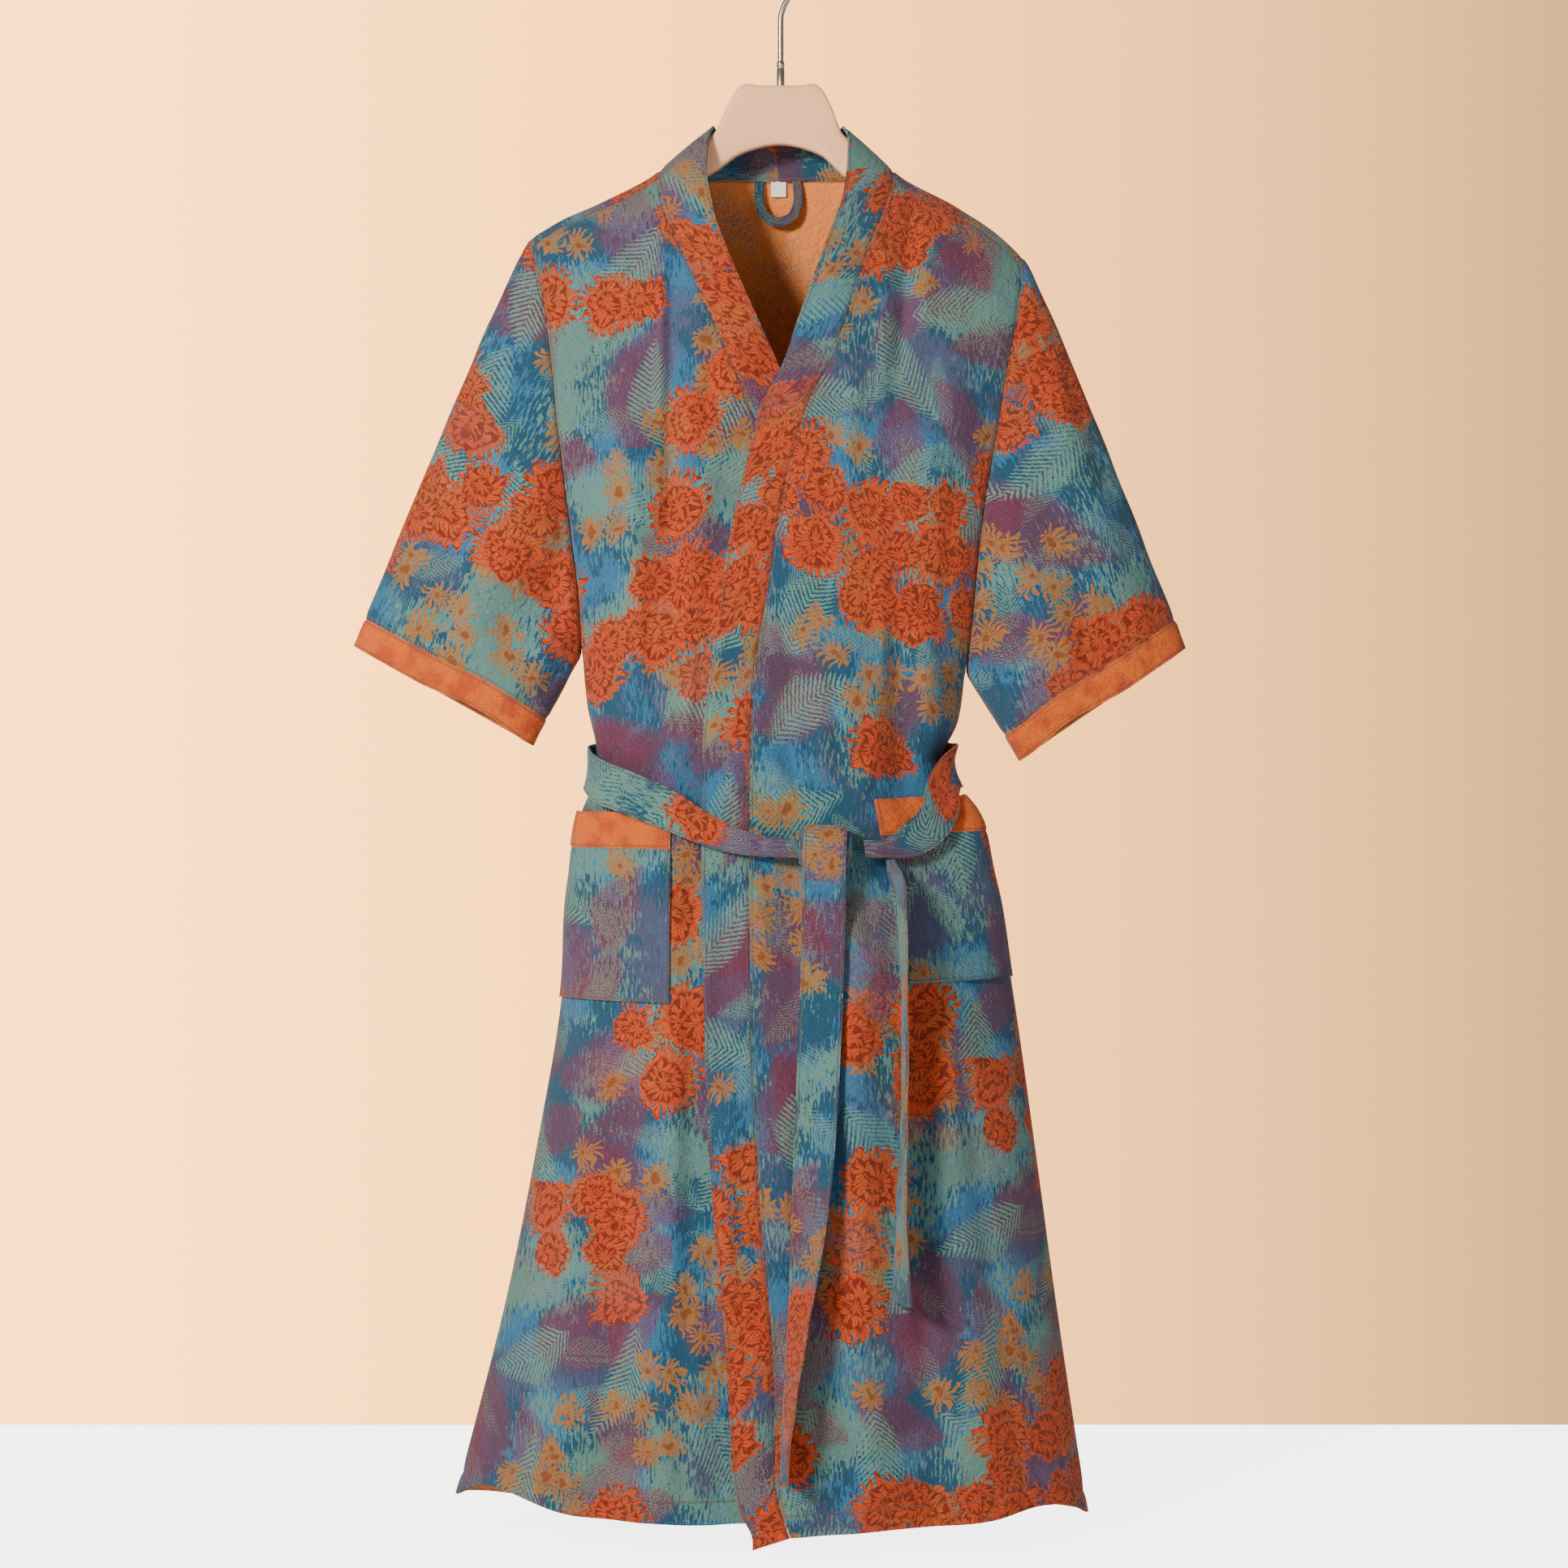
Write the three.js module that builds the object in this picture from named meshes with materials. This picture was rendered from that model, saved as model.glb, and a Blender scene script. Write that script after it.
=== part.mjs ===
// A calf-length kimono bathrobe on a broad moulded hanger, in millimetres.
// +Z is up, -Y is the front and +X is the right of someone who faces the front.
// The origin is the inside top of the hanger's hook, where a rail carries it.
// Each piece of cloth is a wall whose outer face is a function of two parameters,
// worked out from the tables of sizes below. "left" and "right" are the viewer's.

import * as THREE from "three";
import { mergeVertices } from "three/addons/utils/BufferGeometryUtils.js";

// Cloth and seams
const PANEL_WALL = 2;
const BAND_WALL = 2.6;
const BELT_WALL = 2.6;
const SEAM_GAP = 0.36;
const ARMHOLE_GAP = 0.75;
const LAYER_GAP = 0.7;
const BAND_RISE = 0.5;

// Heights of the garment
const SHOULDER = { left: { x: -213, z: -250 }, right: { x: 206, z: -266 } };
const SIDE_HEM = { left: -1323, right: -1339 };
const UNDERARM_SHARE = 0.332;
const SHOULDER_SEAM_DROP = 8;
const SHOULDER_ROLL = 260;
const NECK_POINT = { left: { x: -104, z: -200 }, right: { x: 96, z: -200 } };

// Outer ridge of the shoulders, from one end to the other
const RIDGE = [
  { x: -213, z: -250 },
  { x: -190, z: -236 },
  { x: -154, z: -220 },
  { x: -104, z: -193 },
  { x: -78, z: -171 },
  { x: -60, z: -157 },
  { x: 56, z: -157 },
  { x: 71, z: -170 },
  { x: 96, z: -193 },
  { x: 151, z: -224 },
  { x: 188, z: -249 },
  { x: 206, z: -266 },
];

// Armhole seams above the underarm, as the x of each side at a height
const ARMHOLE = [
  { z: -258, left: -213, right: 206 },
  { z: -274, left: -209, right: 206 },
  { z: -313, left: -201, right: 202 },
  { z: -360, left: -195, right: 192 },
  { z: -408, left: -190, right: 184 },
  { z: -468, left: -183, right: 173 },
  { z: -516, left: -177, right: 167 },
  { z: -560, left: -172, right: 163 },
  { z: -606, left: -170, right: 158 },
];
const ARMHOLE_SPREAD = 40;

// Sections of the body: side seams, and the depth of the middle of the front and back
const BODY = [
  { z: -160, left: -170, right: 158, front: 60, back: 56 },
  { z: -420, left: -170, right: 158, front: 62, back: 58 },
  { z: -606, left: -170, right: 158, front: 62, back: 58 },
  { z: -650, left: -166, right: 152, front: 60, back: 57 },
  { z: -690, left: -158, right: 138, front: 57, back: 54 },
  { z: -712, left: -159, right: 144, front: 56, back: 54 },
  { z: -738, left: -170, right: 164, front: 60, back: 57 },
  { z: -800, left: -181, right: 183, front: 69, back: 65 },
  { z: -900, left: -188, right: 200, front: 79, back: 75 },
  { z: -1020, left: -208, right: 217, front: 86, back: 83 },
  { z: -1160, left: -236, right: 236, front: 92, back: 90 },
  { z: -1255, left: -260, right: 250, front: 96, back: 96 },
  { z: -1345, left: -284, right: 264, front: 99, back: 100 },
];
const SIDE_POWER = 2.4;
const SIDE_ROUND = 0.588;

// Hems, by share of the way across
const FRONT_HEM_LEFT = [
  { across: 0, z: -1330 },
  { across: 0.5, z: -1329 },
  { across: 0.68, z: -1325 },
  { across: 0.82, z: -1313 },
  { across: 0.92, z: -1309 },
  { across: 1, z: SIDE_HEM.left },
];
const FRONT_HEM_RIGHT = [
  { across: 0, z: -1341 },
  { across: 0.35, z: -1335 },
  { across: 0.65, z: -1332 },
  { across: 0.85, z: -1324 },
  { across: 0.94, z: -1328 },
  { across: 1, z: SIDE_HEM.right },
];
const BACK_HEM = [
  { across: 0, z: SIDE_HEM.left },
  { across: 0.08, z: -1340 },
  { across: 0.5, z: -1346 },
  { across: 0.9, z: -1345 },
  { across: 1, z: SIDE_HEM.right },
];

// Front bands: the seam that joins each to its front, and its free edge
const OVER_BAND = [
  { z: -1341, seam: 8, free: -23 },
  { z: -1318, seam: 0, free: -34 },
  { z: -1250, seam: -5, free: -42 },
  { z: -1180, seam: -7, free: -46 },
  { z: -1088, seam: -16, free: -55 },
  { z: -965, seam: -22, free: -62 },
  { z: -845, seam: -26, free: -65 },
  { z: -741, seam: -26, free: -66 },
  { z: -671, seam: -25, free: -65 },
  { z: -604, seam: -19, free: -57 },
  { z: -561, seam: -12, free: -51 },
  { z: -500, seam: -3, free: -41 },
  { z: -450, seam: 7, free: -29 },
  { z: -400, seam: 22, free: -17 },
  { z: -368, seam: 38, free: 0 },
  { z: -328, seam: 54, free: 14 },
  { z: -292, seam: 65, free: 27 },
  { z: -252, seam: 79, free: 41 },
  { z: -226, seam: 89, free: 51 },
  { z: -200, seam: 96, free: 56 },
  { z: -166, seam: 96, free: 58 },
];
const UNDER_BAND = [
  { z: -1330, seam: 28, free: 66 },
  { z: -1088, seam: 28, free: 66 },
  { z: -741, seam: 27, free: 66 },
  { z: -602, seam: 22, free: 61 },
  { z: -526, seam: 12, free: 50 },
  { z: -463, seam: -3, free: 34 },
  { z: -408, seam: -22, free: 15 },
  { z: -360, seam: -42, free: -4 },
  { z: -311, seam: -64, free: -26 },
  { z: -267, seam: -83, free: -45 },
  { z: -236, seam: -97, free: -56 },
  { z: -216, seam: -102, free: -60 },
  { z: -200, seam: -104, free: -63 },
  { z: -166, seam: -104, free: -62 },
];

// How much higher a band's free edge is than its seam, square across the band
const BAND_LIFT = [
  { z: -1341, lift: -10 },
  { z: -1300, lift: -4 },
  { z: -1200, lift: 0 },
  { z: -741, lift: 0 },
  { z: -620, lift: 4 },
  { z: -520, lift: 7 },
  { z: -440, lift: 11 },
  { z: -370, lift: 15 },
  { z: -300, lift: 15 },
  { z: -245, lift: 16 },
  { z: -222, lift: 22 },
  { z: -200, lift: 35 },
];

// Free edge of the bands round the back of the neck, at the neckline's shares
const NECK_TOP = [
  { share: 0.29, x: -57.6, y: 0, z: -154 },
  { share: 0.33, x: -55.5, y: 13, z: -157 },
  { share: 0.38, x: -46, y: 23, z: -160 },
  { share: 0.44, x: -27, y: 29, z: -163 },
  { share: 0.5, x: -3, y: 31, z: -164 },
  { share: 0.56, x: 21, y: 29, z: -163 },
  { share: 0.62, x: 41, y: 23, z: -160 },
  { share: 0.67, x: 51, y: 13, z: -157 },
  { share: 0.71, x: 53.4, y: 0, z: -154 },
];
const UNDER_DEPTH = 7;
const UNDER_EASE = 34;

// Back neckline, from the left neck point over the ridge to the right one.
// share is the share of the way across the back, and drop is the depth below the
// ridge: negative on the front side of it.
const BACK_TOP = [
  { share: 0.25, x: -104, drop: -8 },
  { share: 0.29, x: -102.5, drop: 0 },
  { share: 0.33, x: -96, drop: 9 },
  { share: 0.38, x: -80, drop: 24 },
  { share: 0.44, x: -45, drop: 46 },
  { share: 0.5, x: -3, drop: 59 },
  { share: 0.56, x: 39, drop: 48 },
  { share: 0.62, x: 72, drop: 24 },
  { share: 0.67, x: 88, drop: 9 },
  { share: 0.71, x: 94.5, drop: 0 },
  { share: 0.75, x: 96, drop: -8 },
];
const NECK_SHARE = { left: 0.25, right: 0.75 };
const BACK_MIDDLE = 0.2;
const NECK_FAN = 9;
const NECK_FAN_REACH = 0.12;
const NECK_FAN_ROWS = 0.03;
const NECK_REACH = 0.25;
const NECK_MIDDLE = { x: -3, y: 0, z: -186 };

// Largest folds. A fold runs from its top to its foot, and depth is outward.
const FRONT_FOLDS = [
  { xTop: 106, zTop: -205, xFoot: 96, zFoot: -400, width: 12, depth: -5 },
  { xTop: 152, zTop: -320, xFoot: 132, zFoot: -610, width: 20, depth: 7 },
  { xTop: 98, zTop: -560, xFoot: 106, zFoot: -765, width: 15, depth: -16 },
  { xTop: 127, zTop: -560, xFoot: 122, zFoot: -700, width: 15, depth: 11 },
  { xTop: 58, zTop: -700, xFoot: 78, zFoot: -1360, width: 30, depth: 8 },
  { xTop: 98, zTop: -880, xFoot: 128, zFoot: -1360, width: 26, depth: -9 },
  { xTop: 138, zTop: -870, xFoot: 180, zFoot: -1360, width: 28, depth: 9 },
  { xTop: 6, zTop: -560, xFoot: 30, zFoot: -1180, width: 18, depth: -6 },
  { xTop: -140, zTop: -330, xFoot: -128, zFoot: -620, width: 26, depth: 6 },
  { xTop: -96, zTop: -250, xFoot: -92, zFoot: -690, width: 16, depth: -5 },
  { xTop: -146, zTop: -600, xFoot: -136, zFoot: -750, width: 12, depth: -12 },
  { xTop: -88, zTop: -700, xFoot: -98, zFoot: -1360, width: 28, depth: 8 },
  { xTop: -126, zTop: -890, xFoot: -150, zFoot: -1360, width: 24, depth: -8 },
  { xTop: -152, zTop: -895, xFoot: -205, zFoot: -1360, width: 26, depth: 8 },
];
const BACK_FOLDS = [
  { xTop: -118, zTop: -300, xFoot: -112, zFoot: -690, width: 24, depth: -7 },
  { xTop: -60, zTop: -380, xFoot: -52, zFoot: -690, width: 24, depth: 6 },
  { xTop: 66, zTop: -340, xFoot: 60, zFoot: -690, width: 26, depth: -6 },
  { xTop: 116, zTop: -330, xFoot: 104, zFoot: -690, width: 22, depth: 6 },
  { xTop: -96, zTop: -704, xFoot: -160, zFoot: -1370, width: 30, depth: 10 },
  { xTop: -56, zTop: -704, xFoot: -88, zFoot: -1370, width: 26, depth: -10 },
  { xTop: -10, zTop: -704, xFoot: -14, zFoot: -1370, width: 30, depth: 11 },
  { xTop: 38, zTop: -704, xFoot: 64, zFoot: -1370, width: 26, depth: -10 },
  { xTop: 86, zTop: -704, xFoot: 142, zFoot: -1370, width: 30, depth: 10 },
];
const FOLD_FADE = 70;

// Sleeves and cuffs
const CUFF = {
  left: { outer: { x: -365, z: -599 }, inner: { x: -212, z: -684 }, depth: 28 },
  right: { outer: { x: 346, z: -601 }, inner: { x: 205, z: -697 }, depth: 27 },
};
const SLEEVE_SWELL = 13;
const SHOULDER_SWELL = 5;
const CUFF_BAND = 26;
const CUFF_LIFT = 8;

// Patch pockets: the x of the inner edge at the top and the foot, and heights
const POCKET = {
  left: { inTop: -92, inFoot: -93, top: -742, foot: -900, slant: 1.5, gape: 10.5, peak: 3.2 },
  right: { inTop: 78, inFoot: 106, top: -731, foot: -884, slant: 3, gape: 10, peak: 6 },
};
const POCKET_EASE = 1.2;
const POCKET_BAND_SHARE = 0.19;
const POCKET_SIDE = 1.2;

// Tie belt: stations from inside the knot round the left side, the back and the
// right side to the knot again. angle is 0 at the right side and -90 in front,
// and off is the distance from the body.
const BELT_ROUND = [
  { angle: -77, z: -772, off: 19, width: 15 },
  { angle: -82, z: -772, off: 19, width: 15 },
  { angle: -87, z: -771, off: 18, width: 15 },
  { angle: -95, z: -767, off: 13, width: 19 },
  { angle: -103, z: -758, off: 10, width: 27 },
  { angle: -114, z: -742, off: 11, width: 34 },
  { angle: -128, z: -727, off: 15, width: 35 },
  { angle: -144, z: -716, off: 16, width: 35 },
  { angle: -158, z: -708, off: 12, width: 34 },
  { angle: -170, z: -705, off: 7, width: 35 },
  { angle: -180, z: -703, off: 7, width: 35 },
  { angle: -190, z: -701, off: 7, width: 35 },
  { angle: -204, z: -699, off: 7, width: 35 },
  { angle: -222, z: -696, off: 8, width: 35 },
  { angle: -245, z: -695, off: 8, width: 35 },
  { angle: -270, z: -695, off: 8, width: 35 },
  { angle: -295, z: -695, off: 8, width: 35 },
  { angle: -318, z: -696, off: 8, width: 35 },
  { angle: -336, z: -698, off: 7, width: 35 },
  { angle: -350, z: -700, off: 7, width: 35 },
  { angle: -360, z: -700, off: 8, width: 35 },
  { angle: -370, z: -702, off: 12, width: 35 },
  { angle: -384, z: -704, off: 18, width: 34 },
  { angle: -391, z: -711, off: 19, width: 34 },
  { angle: -399, z: -728, off: 16.5, width: 35 },
  { angle: -411, z: -752, off: 16, width: 34 },
  { angle: -421, z: -765, off: 18, width: 27 },
  { angle: -428, z: -771, off: 19, width: 15 },
  { angle: -433, z: -771, off: 19, width: 15 },
];
const KNOT = { x: 37, z: -771, off: 17, wide: 44, high: 15.5, deep: 12 };
const KNOT_RINGS = [
  { along: -0.5, size: 0.86 },
  { along: -0.28, size: 0.99 },
  { along: 0, size: 1 },
  { along: 0.28, size: 1 },
  { along: 0.5, size: 0.88 },
];

// Free ends of the belt. off is the distance of the middle from the front, and
// face turns the width from across the front towards edge-on.
const TAILS = {
  long: [
    { x: 38, z: -754.4, off: 12, face: 0, width: 32 },
    { x: 37.5, z: -752.2, off: 17, face: 0, width: 34 },
    { x: 37, z: -752.4, off: 24, face: 0, width: 36 },
    { x: 37, z: -757, off: 30, face: 0, width: 36 },
    { x: 36.5, z: -765, off: 32.5, face: 0, width: 36 },
    { x: 36, z: -782, off: 32, face: 1, width: 36 },
    { x: 36, z: -806, off: 23, face: 2, width: 36 },
    { x: 35.5, z: -840, off: 12, face: 3, width: 36 },
    { x: 34, z: -890, off: 9, face: 5, width: 36 },
    { x: 31, z: -960, off: 9, face: 10, width: 36 },
    { x: 28, z: -1015, off: 12, face: 18, width: 36 },
    { x: 24, z: -1070, off: 16.5, face: 32, width: 36 },
    { x: 19, z: -1120, off: 19, face: 48, width: 35 },
    { x: 13, z: -1170, off: 20, face: 62, width: 35 },
    { x: 6, z: -1230, off: 22, face: 75, width: 35 },
    { x: 1.5, z: -1290, off: 23, face: 84, width: 35 },
  ],
  short: [
    { x: 91, z: -780, off: 16, face: 45, width: 11 },
    { x: 95, z: -788, off: 18, face: 60, width: 16 },
    { x: 98, z: -800, off: 23, face: 70, width: 24 },
    { x: 100, z: -825, off: 27, face: 80, width: 32 },
    { x: 101, z: -870, off: 28, face: 84, width: 35 },
    { x: 102, z: -940, off: 24, face: 85, width: 35 },
    { x: 101, z: -1010, off: 22, face: 85, width: 35 },
    { x: 99, z: -1070, off: 22, face: 80, width: 35 },
    { x: 99, z: -1110, off: 22, face: 73, width: 35 },
    { x: 99, z: -1146, off: 22, face: 67, width: 35 },
  ],
};

// Loop and tag inside the back neck
const LOOP = [
  { x: -18, z: -196 },
  { x: -19, z: -207 },
  { x: -18, z: -218 },
  { x: -13, z: -227 },
  { x: -2, z: -231 },
  { x: 9, z: -227 },
  { x: 14, z: -218 },
  { x: 15, z: -207 },
  { x: 14, z: -196 },
];
const LOOP_STRIP = 8;
const LOOP_WALL = 1.6;
const TAG = { x: -2, top: -196, width: 13, height: 13, wall: 0.8 };

// Hanger, as upright sections along its length, with the top edge of its neck, and
// its hook. The arms' top edge follows the ridge of the shoulders.
const HANGER = [
  { x: -209, foot: -272, depth: 6.5, power: 2.1 },
  { x: -203, foot: -281, depth: 8, power: 2.1 },
  { x: -190, foot: -282, depth: 9.5, power: 2.1 },
  { x: -154, foot: -267, depth: 11, power: 2.1 },
  { x: -104, foot: -232, depth: 11, power: 2.2 },
  { x: -76, foot: -208, depth: 8.5, power: 2.6 },
  { x: -60, foot: -196, depth: 7.5, power: 3.4 },
  { x: -55, foot: -193, depth: 7, power: 4 },
  { x: -48, foot: -188, depth: 7, power: 5 },
  { x: -37, foot: -180, depth: 7, power: 5 },
  { x: -34, foot: -178.5, depth: 7, power: 5 },
  { x: -18, foot: -173, depth: 7, power: 5 },
  { x: -1, foot: -170.5, depth: 7, power: 5 },
  { x: 16, foot: -173, depth: 7, power: 5 },
  { x: 32, foot: -178.5, depth: 7, power: 5 },
  { x: 35, foot: -180, depth: 7, power: 5 },
  { x: 45, foot: -189, depth: 7, power: 5 },
  { x: 51, foot: -195, depth: 7, power: 4 },
  { x: 56, foot: -199, depth: 7.5, power: 3.4 },
  { x: 70, foot: -209, depth: 8.5, power: 2.6 },
  { x: 96, foot: -232, depth: 11, power: 2.2 },
  { x: 151, foot: -271, depth: 11, power: 2.1 },
  { x: 186, foot: -293, depth: 9.5, power: 2.1 },
  { x: 198, foot: -294, depth: 8, power: 2.1 },
  { x: 203, foot: -286, depth: 6.5, power: 2.1 },
];
const HANGER_TOP = [
  { x: -76, z: -175 },
  { x: -60, z: -163 },
  { x: -55, z: -158 },
  { x: -48, z: -142 },
  { x: -37, z: -123 },
  { x: -34, z: -120.4 },
  { x: -18, z: -120 },
  { x: -1, z: -120 },
  { x: 16, z: -120 },
  { x: 32, z: -120.4 },
  { x: 35, z: -123 },
  { x: 45, z: -142 },
  { x: 51, z: -158 },
  { x: 56, z: -164 },
  { x: 70, z: -176 },
];
const HANGER_NECK = { from: -66, to: 62 };
const HANGER_SECTIONS = 10;
const HANGER_REST = 2.85;
const HANGER_BAND_REST = 7.4;
const HANGER_FACETS = 16;
const HOOK = { x: 0, wire: 2.5, bend: 22, from: -52, to: 205, foot: -98.9 };
const FERRULE = { radius: 3.4, top: -99, foot: -119.9 };

// Colours and finishes
const LOOKS = {
  blue_gauze: { color: 0x3f7390, roughness: 0.92, metalness: 0 },
  orange_gauze: { color: 0xd2743b, roughness: 0.92, metalness: 0 },
  white_tape: { color: 0xf3f1ee, roughness: 0.8, metalness: 0 },
  hanger_plastic: { color: 0xe9d8cb, roughness: 0.45, metalness: 0 },
  hook_steel: { color: 0xb9b6b2, roughness: 0.3, metalness: 1 },
};

const clamp = (v, low, high) => Math.min(high, Math.max(low, v));
const lerp = (a, b, t) => a + (b - a) * t;
const smooth = (t) => {
  const c = clamp(t, 0, 1);
  return c * c * (3 - 2 * c);
};
const radians = (degrees) => (degrees * Math.PI) / 180;

// A column of a table at a value of its key, by cubic Hermite pieces whose slopes
// are the weighted means of the neighbouring chords.
function at(table, key, column, value) {
  const rows =
    table[0][key] < table[table.length - 1][key] ? table : [...table].reverse();
  const last = rows.length - 1;
  const v = clamp(value, rows[0][key], rows[last][key]);
  let i = 0;
  while (i < last - 1 && rows[i + 1][key] < v) i += 1;
  const chord = (n) =>
    (rows[n + 1][column] - rows[n][column]) / (rows[n + 1][key] - rows[n][key]);
  const slope = (n) => {
    if (n === 0) return chord(0);
    if (n === last) return chord(last - 1);
    const before = rows[n][key] - rows[n - 1][key];
    const after = rows[n + 1][key] - rows[n][key];
    return (chord(n - 1) * after + chord(n) * before) / (before + after);
  };
  const span = rows[i + 1][key] - rows[i][key];
  const t = (v - rows[i][key]) / span;
  const t2 = t * t;
  const t3 = t2 * t;
  return (
    rows[i][column] * (2 * t3 - 3 * t2 + 1) +
    rows[i + 1][column] * (3 * t2 - 2 * t3) +
    slope(i) * span * (t3 - 2 * t2 + t) +
    slope(i + 1) * span * (t3 - t2)
  );
}

const ridge = (x) => at(RIDGE, "x", "z", x);
const sideLength = (side) => SHOULDER[side].z - SIDE_HEM[side];
const underarm = (side) =>
  SHOULDER[side].z - UNDERARM_SHARE * sideLength(side);

// The x of a side's edge at a height: the armhole above the underarm, the side
// seam below it.
function edge(side, z) {
  if (z > SHOULDER[side].z - SHOULDER_SEAM_DROP - 1e-6) return SHOULDER[side].x;
  if (z >= underarm(side)) {
    const share = (z - underarm(side)) / (SHOULDER[side].z - underarm(side));
    const scaled = lerp(-606, SHOULDER[side].z, share);
    return at(ARMHOLE, "z", side, scaled);
  }
  const scaled = z + (-606 - underarm(side)) * smooth((z + 760) / 120);
  return at(BODY, "z", side, scaled);
}

// How far the body's round section reaches past the armhole seam, so that the
// seam has the depth of the sleeve's mouth there.
function spread(side, z) {
  const share = (z - underarm(side)) / (SHOULDER[side].z - underarm(side));
  return ARMHOLE_SPREAD * Math.sqrt(clamp(share, 0, 1));
}

// Sum of a table's folds at a place.
function folds(table, x, z) {
  return table.reduce((sum, f) => {
    const along = (f.zTop - z) / (f.zTop - f.zFoot);
    const centre = lerp(f.xTop, f.xFoot, clamp(along, 0, 1));
    const fade =
      smooth((f.zTop - z) / FOLD_FADE) * smooth((z - f.zFoot) / FOLD_FADE);
    const off = (x - centre) / f.width;
    return sum + f.depth * fade * Math.exp(-off * off);
  }, 0);
}

// Depth of the cloth in front of or behind the plane through both side seams.
function depth(face, x, z) {
  const left = edge("left", z) - spread("left", z);
  const right = edge("right", z) + spread("right", z);
  const off = Math.abs(x - (left + right) / 2) / ((right - left) / 2);
  const round = (1 - Math.min(off, 1) ** SIDE_POWER) ** SIDE_ROUND;
  const down = clamp((ridge(x) - z) / SHOULDER_ROLL, 0, 1);
  const top = Math.sqrt(1 - (1 - down) ** 2);
  const creases = face === "front" ? FRONT_FOLDS : BACK_FOLDS;
  return round * top * (at(BODY, "z", face, z) + folds(creases, x, z));
}

// How far the under front lies behind the over front's free edge.
function tuck(x, z) {
  const free = at(OVER_BAND, "z", "free", z);
  return UNDER_DEPTH * smooth((x - free + UNDER_EASE) / (UNDER_EASE - 4));
}

function onFront(side, x, z) {
  const behind = side === "left" ? tuck(x, z) : 0;
  return new THREE.Vector3(x, -depth("front", x, z) + behind, z);
}

// A front at a share of the way from its band seam to its side, and a share of
// the way down its side.
function frontPoint(side, across, down) {
  const band = side === "left" ? UNDER_BAND : OVER_BAND;
  const hem = side === "left" ? FRONT_HEM_LEFT : FRONT_HEM_RIGHT;
  const first = SHOULDER_SEAM_DROP / sideLength(side);
  const below = (down - first) / (1 - first);
  const neck = NECK_POINT[side];
  const edgeZ = SHOULDER[side].z - down * sideLength(side);
  const seamZ = lerp(neck.z, hem[0].z, below);
  const edgeX = edge(side, edgeZ);
  const x = lerp(at(band, "z", "seam", seamZ), edgeX, across);
  const straight = lerp(neck.z, SHOULDER[side].z - SHOULDER_SEAM_DROP, across);
  const topX = lerp(neck.x, SHOULDER[side].x, across);
  const bow = (ridge(topX) - SHOULDER_SEAM_DROP - straight) * (1 - below) ** 3;
  const level = lerp(hem[0].z, SIDE_HEM[side], across);
  const dip = (at(hem, "across", "z", across) - level) * below ** 6;
  const z = lerp(seamZ, edgeZ, across) + bow + dip;
  return onFront(side, x, z);
}

// Where the back's top edge is, at a share across it: along the shoulder seams
// and round the neckline.
function backTop(across) {
  const seam = (side, share) => ({
    x: lerp(SHOULDER[side].x, NECK_POINT[side].x, share),
    drop: -SHOULDER_SEAM_DROP,
  });
  if (across <= NECK_SHARE.left) return seam("left", across / NECK_SHARE.left);
  if (across >= NECK_SHARE.right)
    return seam("right", (1 - across) / (1 - NECK_SHARE.right));
  return {
    x: at(BACK_TOP, "share", "x", across),
    drop: at(BACK_TOP, "share", "drop", across),
  };
}

// The back at a share across it from left to right, and a share down its sides,
// which is negative where it rolls over the ridge to the front.
function backPoint(across, down) {
  const first = SHOULDER_SEAM_DROP / sideLength("left");
  const rows = (down + first) / (1 + first);
  const top = backTop(across);
  const hem = at(BACK_HEM, "across", "z", across);
  const drop = lerp(top.drop, ridge(top.x) - hem, rows);
  const z = ridge(top.x) - Math.abs(drop);
  const edgeOf = (side) =>
    edge(side, SHOULDER[side].z - Math.abs(down) * sideLength(side));
  const left = edgeOf("left");
  const right = edgeOf("right");
  const span = SHOULDER.right.x - SHOULDER.left.x;
  const shift = lerp(
    left - SHOULDER.left.x,
    right - SHOULDER.right.x,
    (top.x - SHOULDER.left.x) / span,
  );
  const outer = (1 - BACK_MIDDLE) / 2 / NECK_SHARE.left;
  const middle = BACK_MIDDLE / (NECK_SHARE.right - NECK_SHARE.left);
  const spaced =
    across < NECK_SHARE.left
      ? outer * across
      : across > NECK_SHARE.right
        ? 1 - outer * (1 - across)
        : 0.5 + (across - 0.5) * middle;
  const fromCorner = Math.abs(NECK_REACH - Math.abs(across - 0.5)) / NECK_FAN_REACH;
  const fan = NECK_FAN * smooth(rows / NECK_FAN_ROWS) * clamp(1 - fromCorner, 0, 1);
  const x = lerp(
    top.x + shift + Math.sign(across - 0.5) * fan,
    lerp(left, right, spaced),
    smooth(rows / 0.4),
  );
  const face = drop < 0 ? "front" : "back";
  const y = depth(face, x, z);
  return new THREE.Vector3(x, drop < 0 ? -y : y, z);
}

// The direction into the body, square to its surface, at a point of a panel
function intoBody(p) {
  const face = p.y < 0 ? "front" : "back";
  const step = 0.5;
  const slope = (dx, dz) =>
    (depth(face, p.x + dx, p.z + dz) - depth(face, p.x - dx, p.z - dz)) / (2 * step);
  const side = Math.abs(p.y) < 0.02 ? 0 : Math.sign(p.y);
  return new THREE.Vector3(slope(step, 0), -side, slope(0, step)).normalize();
}

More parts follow.
